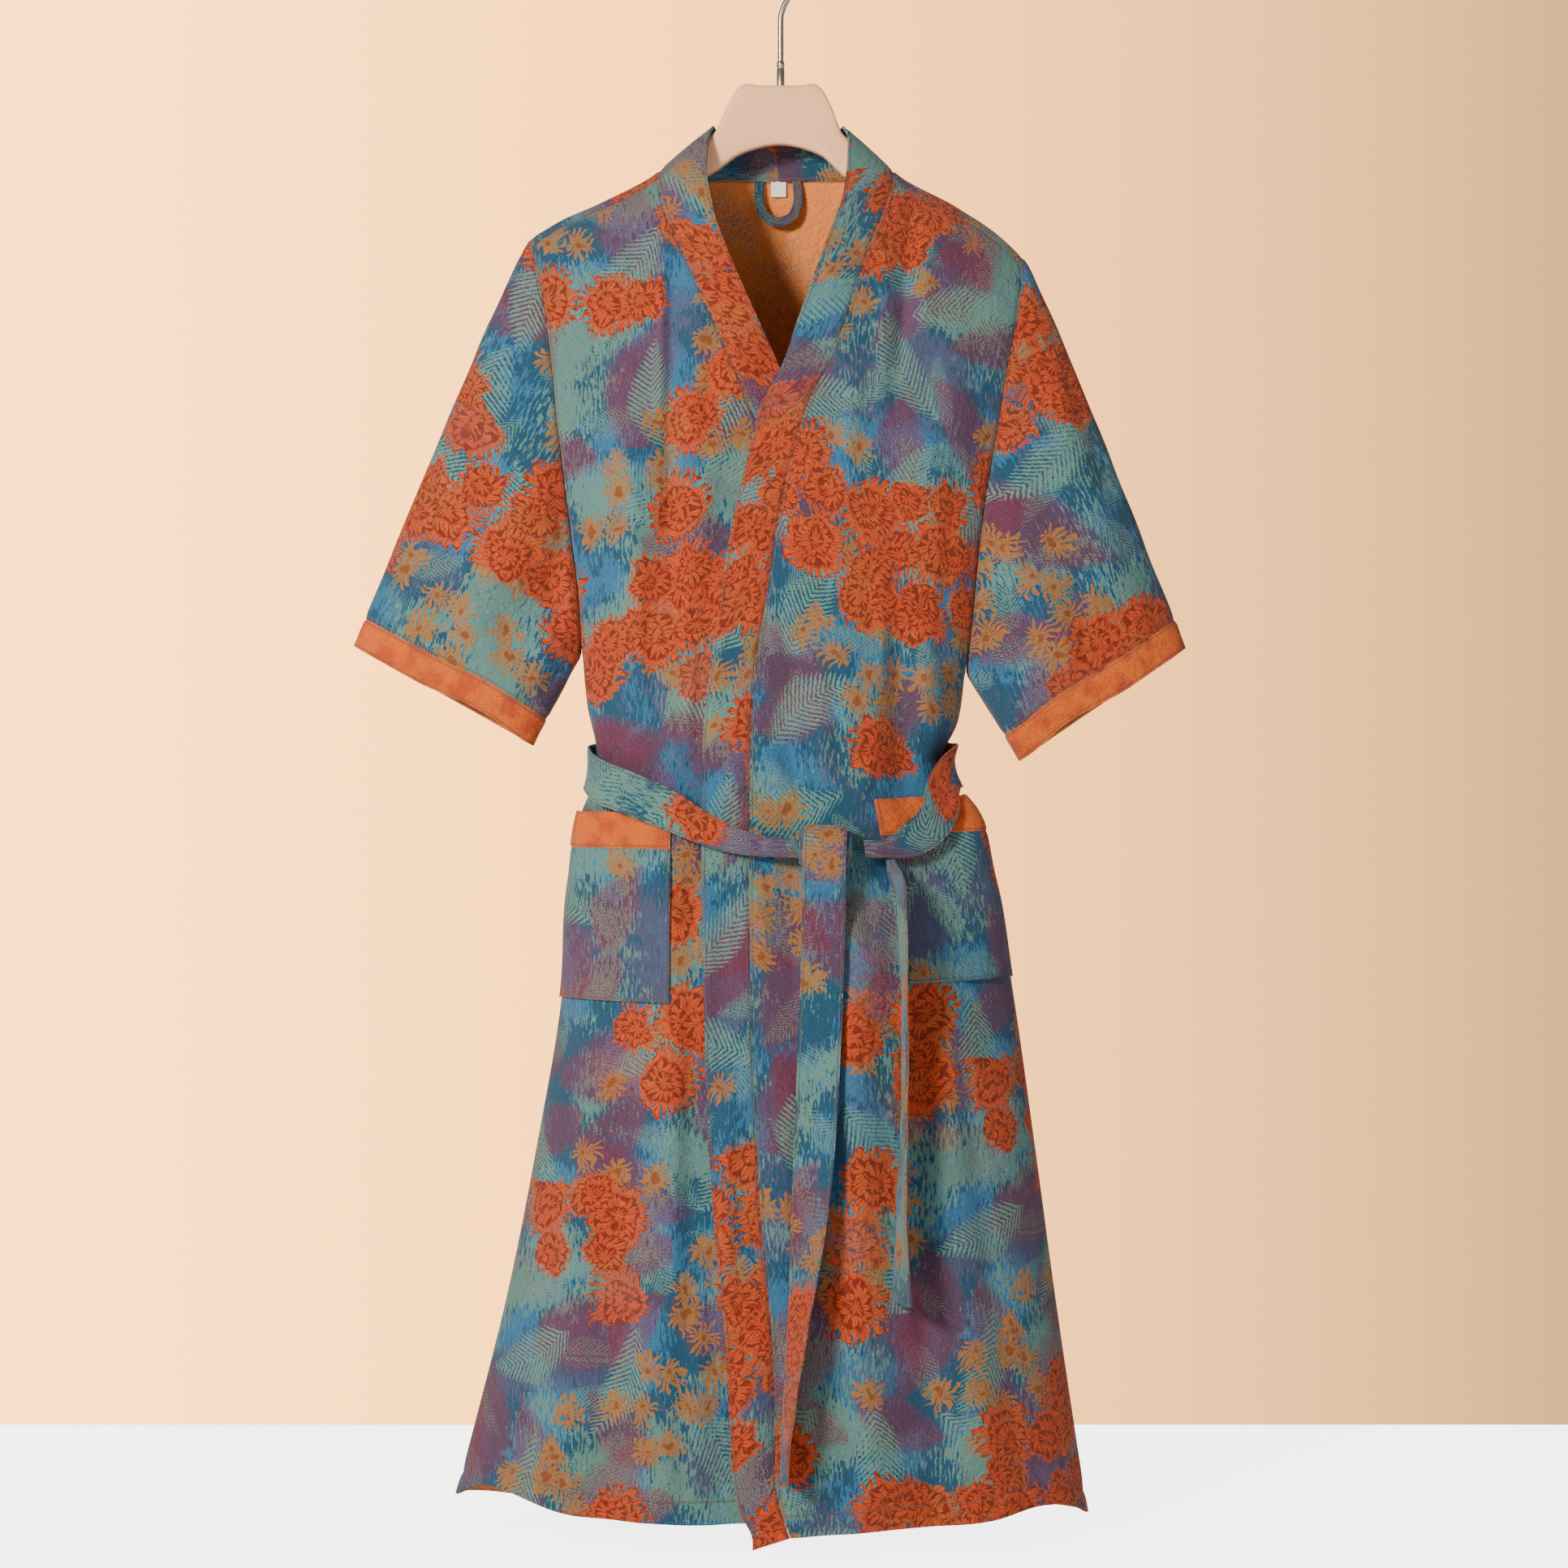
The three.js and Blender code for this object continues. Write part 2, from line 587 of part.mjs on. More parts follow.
// A sheet of cloth: its outer points by rows, and for each the vector from the
// outer to the inner face, square to the sheet.
function sheet(points, wall, outward, inwardAt) {
  const rows = points.length;
  const columns = points[0].length;
  const closed = points[0][0].distanceTo(points[0][columns - 1]) < 1e-6;
  const inward = points.map((row, r) =>
    row.map((p, c) => {
      if (inwardAt) return inwardAt(p);
      const before = c > 0 ? row[c - 1] : closed ? row[columns - 2] : p;
      const after = c < columns - 1 ? row[c + 1] : closed ? row[1] : p;
      const above = points[Math.max(r - 1, 0)][c];
      const below = points[Math.min(r + 1, rows - 1)][c];
      return after
        .clone()
        .sub(before)
        .cross(below.clone().sub(above))
        .normalize();
    }),
  );
  const r = Math.floor(rows / 2);
  const c = Math.floor(columns / 2);
  const sign = !inwardAt && inward[r][c].dot(outward) > 0 ? -wall : wall;
  inward.flat().forEach((v) => v.multiplyScalar(sign));
  return { points, inward, wall, closed };
}

// Joins two sheets edge to edge: both edges get one mitred face, and each is
// drawn back by half the seam's gap. An edge is a list of places, each with the
// place next to it inside its own sheet.
function join(a, edgeA, b, edgeB, gap = SEAM_GAP) {
  edgeA.forEach((placeA, n) => {
    const placeB = edgeB[n];
    const one = a.inward[placeA.row][placeA.column];
    const two = b.inward[placeB.row][placeB.column];
    const mitre = one.clone().normalize().add(two.clone().normalize());
    const cosine = Math.max(mitre.length() / 2, 0.4);
    mitre.normalize();
    [
      [a, placeA, one],
      [b, placeB, two],
    ].forEach(([piece, place, vector]) => {
      const here = piece.points[place.row][place.column];
      const next = piece.points[place.nextRow][place.nextColumn];
      const back = place.away
        ? here.clone().sub(place.away).projectOnPlane(vector).normalize()
        : next.clone().sub(here).normalize();
      here.addScaledVector(back, gap / 2 / cosine);
      vector.copy(mitre).multiplyScalar(piece.wall / cosine);
    });
  });
}

const columnEdge = (rows, column, next) =>
  rows.map((row) => ({ row, column, nextRow: row, nextColumn: next }));
const rowEdge = (columns, row, next) =>
  columns.map((column) => ({ row, column, nextRow: next, nextColumn: column }));

// Closes a sheet into a wall: the outer face, the inner face and the edges.
function wallOf({ points, inward, closed }) {
  const rows = points.length;
  const columns = points[0].length;
  for (let r = 0; r < rows && closed; r += 1) {
    points[r][columns - 1].copy(points[r][0]);
    inward[r][columns - 1].copy(inward[r][0]);
  }
  const inner = points.map((row, r) =>
    row.map((p, c) => p.clone().add(inward[r][c])),
  );
  const corners = [];
  const quad = (a, b, c, d) => corners.push(a, b, c, a, c, d);
  for (let r = 0; r < rows - 1; r += 1)
    for (let c = 0; c < columns - 1; c += 1) {
      quad(points[r][c], points[r + 1][c], points[r + 1][c + 1], points[r][c + 1]);
      quad(inner[r][c], inner[r][c + 1], inner[r + 1][c + 1], inner[r + 1][c]);
    }
  for (let c = 0; c < columns - 1; c += 1) {
    quad(points[0][c], points[0][c + 1], inner[0][c + 1], inner[0][c]);
    const r = rows - 1;
    quad(points[r][c + 1], points[r][c], inner[r][c], inner[r][c + 1]);
  }
  for (let r = 0; r < rows - 1 && !closed; r += 1) {
    quad(points[r + 1][0], points[r][0], inner[r][0], inner[r + 1][0]);
    const c = columns - 1;
    quad(points[r][c], points[r + 1][c], inner[r + 1][c], inner[r][c]);
  }
  return solidFrom(corners);
}

// A geometry from a list of triangle corners, turned to face outwards.
function solidFrom(corners) {
  let six = 0;
  for (let i = 0; i < corners.length; i += 3)
    six += corners[i].dot(corners[i + 1].clone().cross(corners[i + 2]));
  const ordered = six < 0 ? [...corners].reverse() : corners;
  const positions = new Float32Array(ordered.flatMap((p) => [p.x, p.y, p.z]));
  const geometry = new THREE.BufferGeometry();
  geometry.setAttribute("position", new THREE.BufferAttribute(positions, 3));
  const merged = mergeVertices(geometry, 1e-4);
  merged.computeVertexNormals();
  return merged;
}

const robe = new THREE.Group();
function add(name, look, geometry) {
  const material = new THREE.MeshStandardMaterial({ ...LOOKS[look], name: look });
  const mesh = new THREE.Mesh(geometry, material);
  mesh.name = name;
  robe.add(mesh);
}

const steps = (count, from = 0, to = 1) =>
  Array.from({ length: count + 1 }, (_, i) => lerp(from, to, i / count));

// Rows of the body, as shares of the side's length: the roll over the shoulder,
// the armhole and the skirt. The last row of the armhole is the underarm.
const SEAM_ROW = SHOULDER_SEAM_DROP / sideLength("left");
const ROLL_ROWS = [-1, -0.3, 0, 0.3].map((share) => share * SEAM_ROW);
const ARM_SHARES = [0.05, 0.1, 0.17, 0.26, 0.37, 0.49, 0.61, 0.73, 0.84, 0.92, 0.965, 1];
const ARM_ROWS = [SEAM_ROW, ...ARM_SHARES.map((share) => share * UNDERARM_SHARE)];
const SKIRT_SHARES = [
  0.034, 0.066, 0.096, 0.121, 0.146, 0.174, 0.215, 0.265, 0.32, 0.375, 0.435, 0.515, 0.61,
  0.705, 0.8, 0.885, 0.95, 1,
];
const SKIRT_ROWS = SKIRT_SHARES.map((share) => lerp(UNDERARM_SHARE, 1, share));
const FRONT_ROWS = [...ARM_ROWS, ...SKIRT_ROWS];
const BACK_ROWS = [...ROLL_ROWS, ...FRONT_ROWS];
const ROLL = ROLL_ROWS.length;
const ARM = ARM_ROWS.length;

// Columns of a front draw together towards the side seam, where it turns.
const FRONT_COLUMNS = steps(14).map((t) => 1 - (1 - t) ** 1.35);
const BACK_COLUMNS = [
  ...FRONT_COLUMNS.map((a) => NECK_SHARE.left * (1 - a)).reverse(),
  ...BACK_TOP.slice(1, -1).map((row) => row.share),
  ...FRONT_COLUMNS.map((a) => 1 - (1 - NECK_SHARE.right) * (1 - a)),
];

const front = (side) =>
  sheet(
    FRONT_ROWS.map((down) => FRONT_COLUMNS.map((a) => frontPoint(side, a, down))),
    PANEL_WALL,
    new THREE.Vector3(0, -1, 0),
    intoBody,
  );
const panels = {
  left: front("left"),
  right: front("right"),
  back: sheet(
    BACK_ROWS.map((down) => BACK_COLUMNS.map((a) => backPoint(a, down))),
    PANEL_WALL,
    new THREE.Vector3(0, 1, 0),
    intoBody,
  ),
};
const frontLast = FRONT_COLUMNS.length - 1;
const backLast = BACK_COLUMNS.length - 1;
const backSide = { left: 0, right: backLast };
const backInside = { left: 1, right: backLast - 1 };

// A sleeve at a share of the way round its mouth's points and a share along it.
// The mouth is the armhole, and the far end is the cuff's flattened ring.
function sleevePoint(side, mouth, along) {
  const cuff = CUFF[side];
  const { point, share, sign } = mouth;
  const length = sleeveLength(side, share);
  const end = new THREE.Vector3(
    lerp(cuff.outer.x, cuff.inner.x, share),
    sign * cuff.depth * 2 * Math.sqrt(share * (1 - share)),
    lerp(cuff.outer.z, cuff.inner.z, share),
  );
  const p = point.clone().lerp(end, along);
  const swell = Math.sin(Math.PI * along) * Math.sqrt(4 * share * (1 - share));
  p.y += sign * SLEEVE_SWELL * swell;
  const out = Math.sign(cuff.outer.x);
  p.x += out * SHOULDER_SWELL * Math.sin(Math.PI * Math.sqrt(along)) * (1 - share) ** 4;
  const lift = sign < 0 ? smooth((share - 0.35) / 0.3) * smooth((0.98 - share) / 0.3) : 0;
  p.z += CUFF_LIFT * lift * along ** 3 * Math.min(1, 120 / length);
  return p;
}

const sleeveLength = (side, share) => {
  const cuff = CUFF[side];
  const outer = Math.hypot(
    cuff.outer.x - SHOULDER[side].x,
    cuff.outer.z - SHOULDER[side].z,
  );
  const inner = Math.hypot(
    cuff.inner.x - edge(side, underarm(side)),
    cuff.inner.z - underarm(side),
  );
  return lerp(outer, inner, share);
};

// The armhole's points: over the shoulder and down the back, then up the front.
function mouthOf(side) {
  const share = (down) => Math.abs(down) / UNDERARM_SHARE;
  const back = BACK_ROWS.slice(0, ROLL + ARM).map((down, row) => ({
    point: panels.back.points[row][backSide[side]].clone(),
    share: share(down),
    sign: down < 0 ? -1 : 1,
  }));
  const up = ARM_ROWS.map((down, row) => ({
    point: panels[side].points[row][frontLast].clone(),
    share: share(down),
    sign: -1,
  }));
  return [...back, ...up.reverse().slice(1)];
}

const SLEEVE_STEPS = [0, 0.07, 0.17, 0.29, 0.43, 0.58, 0.73, 0.87, 1];
function sleeve(side) {
  const mouth = mouthOf(side);
  const outward = new THREE.Vector3(0, 1, 0);
  const bandAt = (share) => 1 - CUFF_BAND / sleeveLength(side, share);
  const body = sheet(
    SLEEVE_STEPS.map((s) =>
      mouth.map((m) => sleevePoint(side, m, s * bandAt(m.share))),
    ),
    PANEL_WALL,
    outward,
  );
  const band = sheet(
    [0, 0.5, 1].map((s) =>
      mouth.map((m) => sleevePoint(side, m, lerp(bandAt(m.share), 1, s))),
    ),
    PANEL_WALL,
    outward,
  );
  return { body, band, mouth };
}

const sleeves = { left: sleeve("left"), right: sleeve("right") };

// A front band with its half of the neck band. Its rows run from the hem up to
// the neck point and round to the middle of the back, and its columns run from
// the seam to the free edge.
const BAND_COLUMNS = [0, 0.34, 0.68, 1];
const NECK_ROWS = NECK_TOP.filter((row) => row.share <= 0.5).length;
function collar(side) {
  const band = side === "left" ? UNDER_BAND : OVER_BAND;
  const up = [...FRONT_ROWS].reverse().map((down) => {
    const seam = frontPoint(side, 0, down);
    const freeZ = seam.z + at(BAND_LIFT, "z", "lift", seam.z);
    const freeX = at(band, "z", "free", freeZ);
    return BAND_COLUMNS.map((w) => {
      if (w === 0) return seam;
      const p = onFront(side, lerp(seam.x, freeX, w), lerp(seam.z, freeZ, w));
      p.y -= BAND_RISE;
      return p;
    });
  });
  const half = side === "left" ? NECK_TOP : [...NECK_TOP].reverse();
  const round = half.slice(0, NECK_ROWS).map(({ share, x, y, z }) => {
    const seam = backPoint(share, -SEAM_ROW);
    const free = new THREE.Vector3(x, y, z);
    return BAND_COLUMNS.map((w) => seam.clone().lerp(free, w));
  });
  return sheet([...up, ...round], BAND_WALL, new THREE.Vector3(0, -1, 0));
}
const collars = { left: collar("left"), right: collar("right") };

// A patch pocket at a share from its inner edge to the side and a share down it.
// It stands out from its front, most at the middle of its open top.
function pocketPoint(side, across, down) {
  const { inTop, inFoot, top, foot, slant, gape, peak } = POCKET[side];
  const z = lerp(top, foot, down) + slant * across;
  const outer = edge(side, z) - Math.sign(edge(side, z)) * POCKET_SIDE;
  const inner = lerp(inTop, inFoot, down);
  const place = (a, height) => onFront(side, lerp(inner, outer, a), height);
  const p = place(across, z);
  const normal = place(across + 0.01, z)
    .sub(place(across - 0.01, z))
    .cross(place(across, z - 1).sub(place(across, z + 1)))
    .normalize();
  if (normal.y > 0) normal.negate();
  const open = (1 - down) ** 1.4 * Math.sin(Math.PI * across ** peak) ** 0.8;
  const ease = Math.min(1, 8 * across * (1 - across)) * Math.min(1, 5 * (1 - down));
  const out = gape * open + POCKET_EASE * ease;
  const level = normal.clone().setZ(0).normalize();
  return p.addScaledVector(normal, LAYER_GAP + PANEL_WALL).addScaledVector(level, out);
}

const POCKET_COLUMNS = steps(9).map((t) => 1 - (1 - t) ** 1.4);
function pocket(side) {
  const rows = (from, to, count) =>
    sheet(
      steps(count, from, to).map((d) =>
        POCKET_COLUMNS.map((a) => pocketPoint(side, a, d)),
      ),
      PANEL_WALL,
      new THREE.Vector3(0, -1, 0),
    );
  return {
    band: rows(0, POCKET_BAND_SHARE, 2),
    body: rows(POCKET_BAND_SHARE, 1, 6),
  };
}
const pockets = { left: pocket("left"), right: pocket("right") };

// Seams
const range = (from, to) =>
  Array.from({ length: to - from }, (_, i) => from + i);
const frontRows = FRONT_ROWS.length;
const backColumnOf = (side, n) =>
  side === "left" ? frontLast - n : backLast - frontLast + n;
["left", "right"].forEach((side) => {
  const sideColumn = backSide[side];
  const sideNext = backInside[side];
  const { body, band } = sleeves[side];
  const shoulder = range(0, frontLast + 1);
  join(
    panels[side],
    rowEdge(shoulder, 0, 1),
    panels.back,
    rowEdge(shoulder.map((n) => backColumnOf(side, n)), 0, 1),
  );
  join(
    panels[side],
    columnEdge(range(ARM - 1, frontRows), frontLast, frontLast - 1),
    panels.back,
    columnEdge(range(ARM - 1 + ROLL, frontRows + ROLL), sideColumn, sideNext),
  );
  join(
    body,
    rowEdge(range(0, ROLL + ARM), 0, 1),
    panels.back,
    columnEdge(range(0, ROLL + ARM), sideColumn, sideNext),
    ARMHOLE_GAP,
  );
  join(
    body,
    rowEdge(range(ROLL + ARM - 1, ROLL + 2 * ARM - 1), 0, 1),
    panels[side],
    columnEdge(range(0, ARM).reverse(), frontLast, frontLast - 1),
    ARMHOLE_GAP,
  );
  const ring = range(0, ROLL + 2 * ARM - 1);
  const end = SLEEVE_STEPS.length - 1;
  join(body, rowEdge(ring, end, end - 1), band, rowEdge(ring, 0, 1));
  join(
    collars[side],
    columnEdge(range(0, frontRows), 0, 1),
    panels[side],
    columnEdge(range(0, frontRows).reverse(), 0, 1),
  );
  const neck = range(frontLast, frontLast + 1 + NECK_ROWS);
  const neckPlaces = neck.map((n) => {
    const column = side === "left" ? n : backLast - n;
    return { row: 0, column, nextRow: 1, nextColumn: column, away: NECK_MIDDLE };
  });
  join(
    collars[side],
    columnEdge(range(frontRows - 1, frontRows + NECK_ROWS), 0, 1),
    panels.back,
    neckPlaces,
  );
  join(
    pockets[side].band,
    rowEdge(range(0, POCKET_COLUMNS.length), 2, 1),
    pockets[side].body,
    rowEdge(range(0, POCKET_COLUMNS.length), 0, 1),
  );
});
const nape = frontRows + NECK_ROWS - 1;
join(
  collars.left,
  rowEdge(range(0, BAND_COLUMNS.length), nape, nape - 1),
  collars.right,
  rowEdge(range(0, BAND_COLUMNS.length), nape, nape - 1),
);

add("back_panel", "blue_gauze", wallOf(panels.back));
["left", "right"].forEach((side) => {
  add(`front_${side}`, "blue_gauze", wallOf(panels[side]));
  add(`collar_${side}`, "blue_gauze", wallOf(collars[side]));
  add(`sleeve_${side}`, "blue_gauze", wallOf(sleeves[side].body));
  add(`cuff_${side}`, "orange_gauze", wallOf(sleeves[side].band));
  add(`pocket_${side}`, "blue_gauze", wallOf(pockets[side].body));
  add(`pocket_band_${side}`, "orange_gauze", wallOf(pockets[side].band));
});

// A place on the belt's way round the body
function girthPoint(angle, z, off) {
  const left = edge("left", z);
  const right = edge("right", z);
  const half = (right - left) / 2 + off;
  const cosine = Math.cos(radians(angle));
  const sine = Math.sin(radians(angle));
  const face = sine < 0 ? "front" : "back";
  return new THREE.Vector3(
    (left + right) / 2 + half * Math.sign(cosine) * Math.abs(cosine) ** (2 / SIDE_POWER),
    Math.sign(sine) * (at(BODY, "z", face, z) + off) * (sine * sine) ** SIDE_ROUND,
    z,
  );
}
const STRIP_COLUMNS = [-0.5, 0, 0.5];
add(
  "belt",
  "blue_gauze",
  wallOf(
    sheet(
      BELT_ROUND.map(({ angle, z, off, width }) =>
        STRIP_COLUMNS.map((w) => girthPoint(angle, z + w * width, off)),
      ),
      BELT_WALL,
      new THREE.Vector3(0, 1, 0),
    ),
  ),
);

// The knot is the loop of the belt through which both of its ends pass.
const KNOT_FACETS = 18;
const knotY = -depth("front", KNOT.x, KNOT.z) - KNOT.off;
const knot = sheet(
  KNOT_RINGS.map(({ along, size }) =>
    steps(KNOT_FACETS).map((t) => {
      const turn = 2 * Math.PI * (t === 1 ? 0 : t);
      return new THREE.Vector3(
        KNOT.x + along * KNOT.wide,
        knotY - Math.cos(turn) * KNOT.deep * size,
        KNOT.z + Math.sin(turn) * KNOT.high * size,
      );
    }),
  ),
  BELT_WALL,
  new THREE.Vector3(0, 1, 0),
);
add("belt_knot", "blue_gauze", wallOf(knot));

function tail(rows) {
  const points = rows.map(({ x, z, off, face, width }) => {
    const turn = radians(face);
    const y = -depth("front", x, z) - off;
    return STRIP_COLUMNS.map(
      (w) =>
        new THREE.Vector3(
          x + w * width * Math.cos(turn),
          y - w * width * Math.sin(turn),
          z,
        ),
    );
  });
  return wallOf(sheet(points, BELT_WALL, new THREE.Vector3(0, -1, 0)));
}
add("belt_tail_long", "blue_gauze", tail(TAILS.long));
add("belt_tail_short", "blue_gauze", tail(TAILS.short));

// Hanging loop and size label, on the inside of the back below the neckline
const napeY = depth("back", LOOP[0].x, LOOP[0].z) - PANEL_WALL - 2 * LAYER_GAP;
const loopPoints = LOOP.map(({ x, z }, n) => {
  const before = LOOP[Math.max(n - 1, 0)];
  const after = LOOP[Math.min(n + 1, LOOP.length - 1)];
  const along = new THREE.Vector3(after.x - before.x, 0, after.z - before.z);
  const across = new THREE.Vector3(-along.z, 0, along.x).normalize();
  return STRIP_COLUMNS.map((w) =>
    new THREE.Vector3(x, napeY, z).addScaledVector(across, w * LOOP_STRIP),
  );
});
add(
  "hanging_loop",
  "blue_gauze",
  wallOf(sheet(loopPoints, LOOP_WALL, new THREE.Vector3(0, 1, 0))),
);
const tagPoints = steps(3).map((t) =>
  steps(3).map((w) => {
    const x = TAG.x + (w - 0.5) * TAG.width;
    const z = TAG.top - t * TAG.height;
    return new THREE.Vector3(x, depth("back", x, z) - PANEL_WALL - LAYER_GAP, z);
  }),
);
add(
  "size_label",
  "white_tape",
  wallOf(sheet(tagPoints, TAG.wall, new THREE.Vector3(0, 1, 0))),
);

// A solid through rings of points, closed at both ends by fans
function loft(rings) {
  const corners = [];
  const count = rings[0].length;
  rings.slice(0, -1).forEach((ring, r) => {
    const next = rings[r + 1];
    ring.forEach((p, n) => {
      const m = (n + 1) % count;
      corners.push(p, next[n], next[m], p, next[m], ring[m]);
    });
  });
  const cap = (ring, flip) => {
    const middle = ring
      .reduce((sum, p) => sum.add(p), new THREE.Vector3())
      .divideScalar(count);
    ring.forEach((p, n) => {
      const q = ring[(n + 1) % count];
      corners.push(...(flip ? [middle, q, p] : [middle, p, q]));
    });
  };
  cap(rings[0], false);
  cap(rings[rings.length - 1], true);
  return solidFrom(corners);
}

// The arms' upper edge lies just under the cloth of the shoulders.
function hangerTop(x) {
  if (x > HANGER_NECK.from && x < HANGER_NECK.to) return at(HANGER_TOP, "x", "z", x);
  const slope = (ridge(x + 2) - ridge(x - 2)) / 4;
  const first = HANGER[0].x;
  const last = HANGER[HANGER.length - 1].x;
  const end = Math.min(x - first, last - x);
  const round = HANGER_REST * (1 - smooth(end / 6));
  const banded = x > NECK_POINT.left.x - 6 && x < NECK_POINT.right.x + 6;
  const rest = banded ? HANGER_BAND_REST : HANGER_REST;
  return ridge(x) - rest * Math.hypot(1, slope) - round;
}
const arm = (from, to) => steps(HANGER_SECTIONS, from, to);
const hangerXs = [
  HANGER[0].x,
  ...arm(HANGER[1].x, HANGER_NECK.from),
  ...HANGER.map((row) => row.x).filter(
    (x) => x > HANGER_NECK.from && x < HANGER_NECK.to,
  ),
  ...arm(HANGER_NECK.to, HANGER[HANGER.length - 2].x),
  HANGER[HANGER.length - 1].x,
];
add(
  "hanger",
  "hanger_plastic",
  loft(
    hangerXs.map((x) => {
      const [foot, half, power] = ["foot", "depth", "power"].map((column) =>
        at(HANGER, "x", column, x),
      );
      const top = hangerTop(x);
      const bent = (v) => Math.sign(v) * Math.abs(v) ** (2 / power);
      return steps(HANGER_FACETS)
        .slice(1)
        .map((t) => {
          const turn = 2 * Math.PI * t;
          const y = half * bent(Math.cos(turn));
          const z = (top + foot) / 2 + ((top - foot) / 2) * bent(Math.sin(turn));
          return new THREE.Vector3(x, y, z);
        });
    }),
  ),
);

// A straight shank that bends over to one side and round into the open hook
const bendCentre = -(HOOK.bend - HOOK.wire);
const bendPoint = (angle) =>
  new THREE.Vector3(
    HOOK.x + HOOK.bend * Math.cos(radians(angle)),
    0,
    bendCentre + HOOK.bend * Math.sin(radians(angle)),
  );
const shankFoot = new THREE.Vector3(HOOK.x, 0, HOOK.foot);
const shankTop = new THREE.Vector3(HOOK.x, 0, bendCentre - 2 * HOOK.bend);
const bendStart = bendPoint(HOOK.from);
const tangent = new THREE.Vector3(
  Math.sin(radians(-HOOK.from)),
  0,
  Math.cos(radians(HOOK.from)),
);
const lean = new THREE.CubicBezierCurve3(
  shankTop,
  shankTop.clone().add(new THREE.Vector3(0, 0, 0.4 * HOOK.bend)),
  bendStart.clone().addScaledVector(tangent, -0.4 * HOOK.bend),
  bendStart,
);

// Wire of round section along a path in the upright plane through the shoulders
function wire(points, radius, facets) {
  return loft(
    points.map((p, n) => {
      const before = points[Math.max(n - 1, 0)];
      const after = points[Math.min(n + 1, points.length - 1)];
      const along = after.clone().sub(before).normalize();
      const side = new THREE.Vector3(0, 1, 0);
      const up = along.clone().cross(side);
      return steps(facets)
        .slice(1)
        .map((t) =>
          p
            .clone()
            .addScaledVector(side, radius * Math.cos(2 * Math.PI * t))
            .addScaledVector(up, radius * Math.sin(2 * Math.PI * t)),
        );
    }),
  );
}
const hookPoints = [
  ...new THREE.LineCurve3(shankFoot, shankTop).getPoints(2),
  ...lean.getPoints(6).slice(1),
  ...steps(20, HOOK.from, HOOK.to).slice(1).map(bendPoint),
];
add("hook", "hook_steel", wire(hookPoints, HOOK.wire, 10));
const ferruleProfile = [
  new THREE.Vector2(0, FERRULE.foot),
  new THREE.Vector2(FERRULE.radius, FERRULE.foot),
  new THREE.Vector2(FERRULE.radius, FERRULE.top - 1.2),
  new THREE.Vector2(FERRULE.radius - 0.9, FERRULE.top),
  new THREE.Vector2(0, FERRULE.top),
];
const ferrule = new THREE.LatheGeometry(ferruleProfile, 24);
ferrule.rotateX(Math.PI / 2);
ferrule.translate(HOOK.x, 0, 0);
add("hook_ferrule", "hook_steel", ferrule);

export default robe;
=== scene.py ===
"""A kimono bathrobe of printed double gauze on a moulded hanger.

Sizes below are millimetres in the row frame: +Z up, -Y the front, +X the right of
someone who faces the front. "left" and "right" are the viewer's.
"""

import math

import bpy
import numpy as np
from bpy.props import FloatProperty, FloatVectorProperty, PointerProperty
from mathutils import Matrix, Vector


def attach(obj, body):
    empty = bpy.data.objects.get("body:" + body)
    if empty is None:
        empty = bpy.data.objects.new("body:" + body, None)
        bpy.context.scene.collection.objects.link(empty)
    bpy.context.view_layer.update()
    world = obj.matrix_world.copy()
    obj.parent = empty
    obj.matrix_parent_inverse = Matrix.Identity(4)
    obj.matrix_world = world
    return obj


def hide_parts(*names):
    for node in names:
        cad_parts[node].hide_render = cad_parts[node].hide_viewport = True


bl_info = {
    "name": "Kimono Bathrobe",
    "version": (1, 0, 0),
    "blender": (4, 5, 0),
    "location": "View3D > Sidebar > Bathrobe",
    "description": "Builds a printed gauze bathrobe on its hanger",
    "category": "Object",
}

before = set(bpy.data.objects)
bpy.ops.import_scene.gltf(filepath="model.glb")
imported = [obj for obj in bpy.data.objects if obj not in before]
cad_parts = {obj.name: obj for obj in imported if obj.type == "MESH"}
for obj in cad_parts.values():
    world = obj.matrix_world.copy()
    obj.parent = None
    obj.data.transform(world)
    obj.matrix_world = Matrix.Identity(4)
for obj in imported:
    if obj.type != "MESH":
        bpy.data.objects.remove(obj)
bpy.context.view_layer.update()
MM = 0.001
SIDES = ("left", "right")

# Cloth and seams
PANEL_WALL = 1.5
BAND_WALL = 2.3
POCKET_WALL = 2.6
BELT_WALL = 2.2
CAD_WALL = 2.0
LAYER_GAP = 0.7
BAND_RISE = 0.5
SEAM_VALLEY = 0.9
SEAM_REACH = 3.0
HEM_FOLD = 19.0
CUFF_BAND = 26.0
CUFF_LIFT = 8.0
NO_SEAM = 99.0
NAPE_LAP = 1.4

# Heights of the garment
SHOULDER = {"left": (-213.0, -250.0), "right": (206.0, -266.0)}
SIDE_HEM = {"left": -1323.0, "right": -1339.0}
UNDERARM_SHARE = 0.332
UNDERARM_Z = -606.0
SHOULDER_SEAM_DROP = 8.0
SHOULDER_ROLL = 260.0
NECK_POINT = {"left": (-104.0, -200.0), "right": (96.0, -200.0)}
ARMHOLE_SPREAD = 40.0
SIDE_POWER = 2.4
SIDE_ROUND = 0.588
UNDER_DEPTH = 7.0
UNDER_EASE = 34.0
NECK_SHARE = (0.25, 0.75)
BACK_MIDDLE = 0.2
NECK_FAN = 9.0
NECK_FAN_REACH = 0.12
NECK_FAN_ROWS = 0.03
FOLD_FADE = 70.0
CREASE_DEPTH = 2.0
SLEEVE_SWELL = 13.0
SHOULDER_SWELL = 5.0


def table(columns, *values):
    """A short table as one array for each named column."""
    return {name: np.array(column, float) for name, column in zip(columns.split(), zip(*values))}


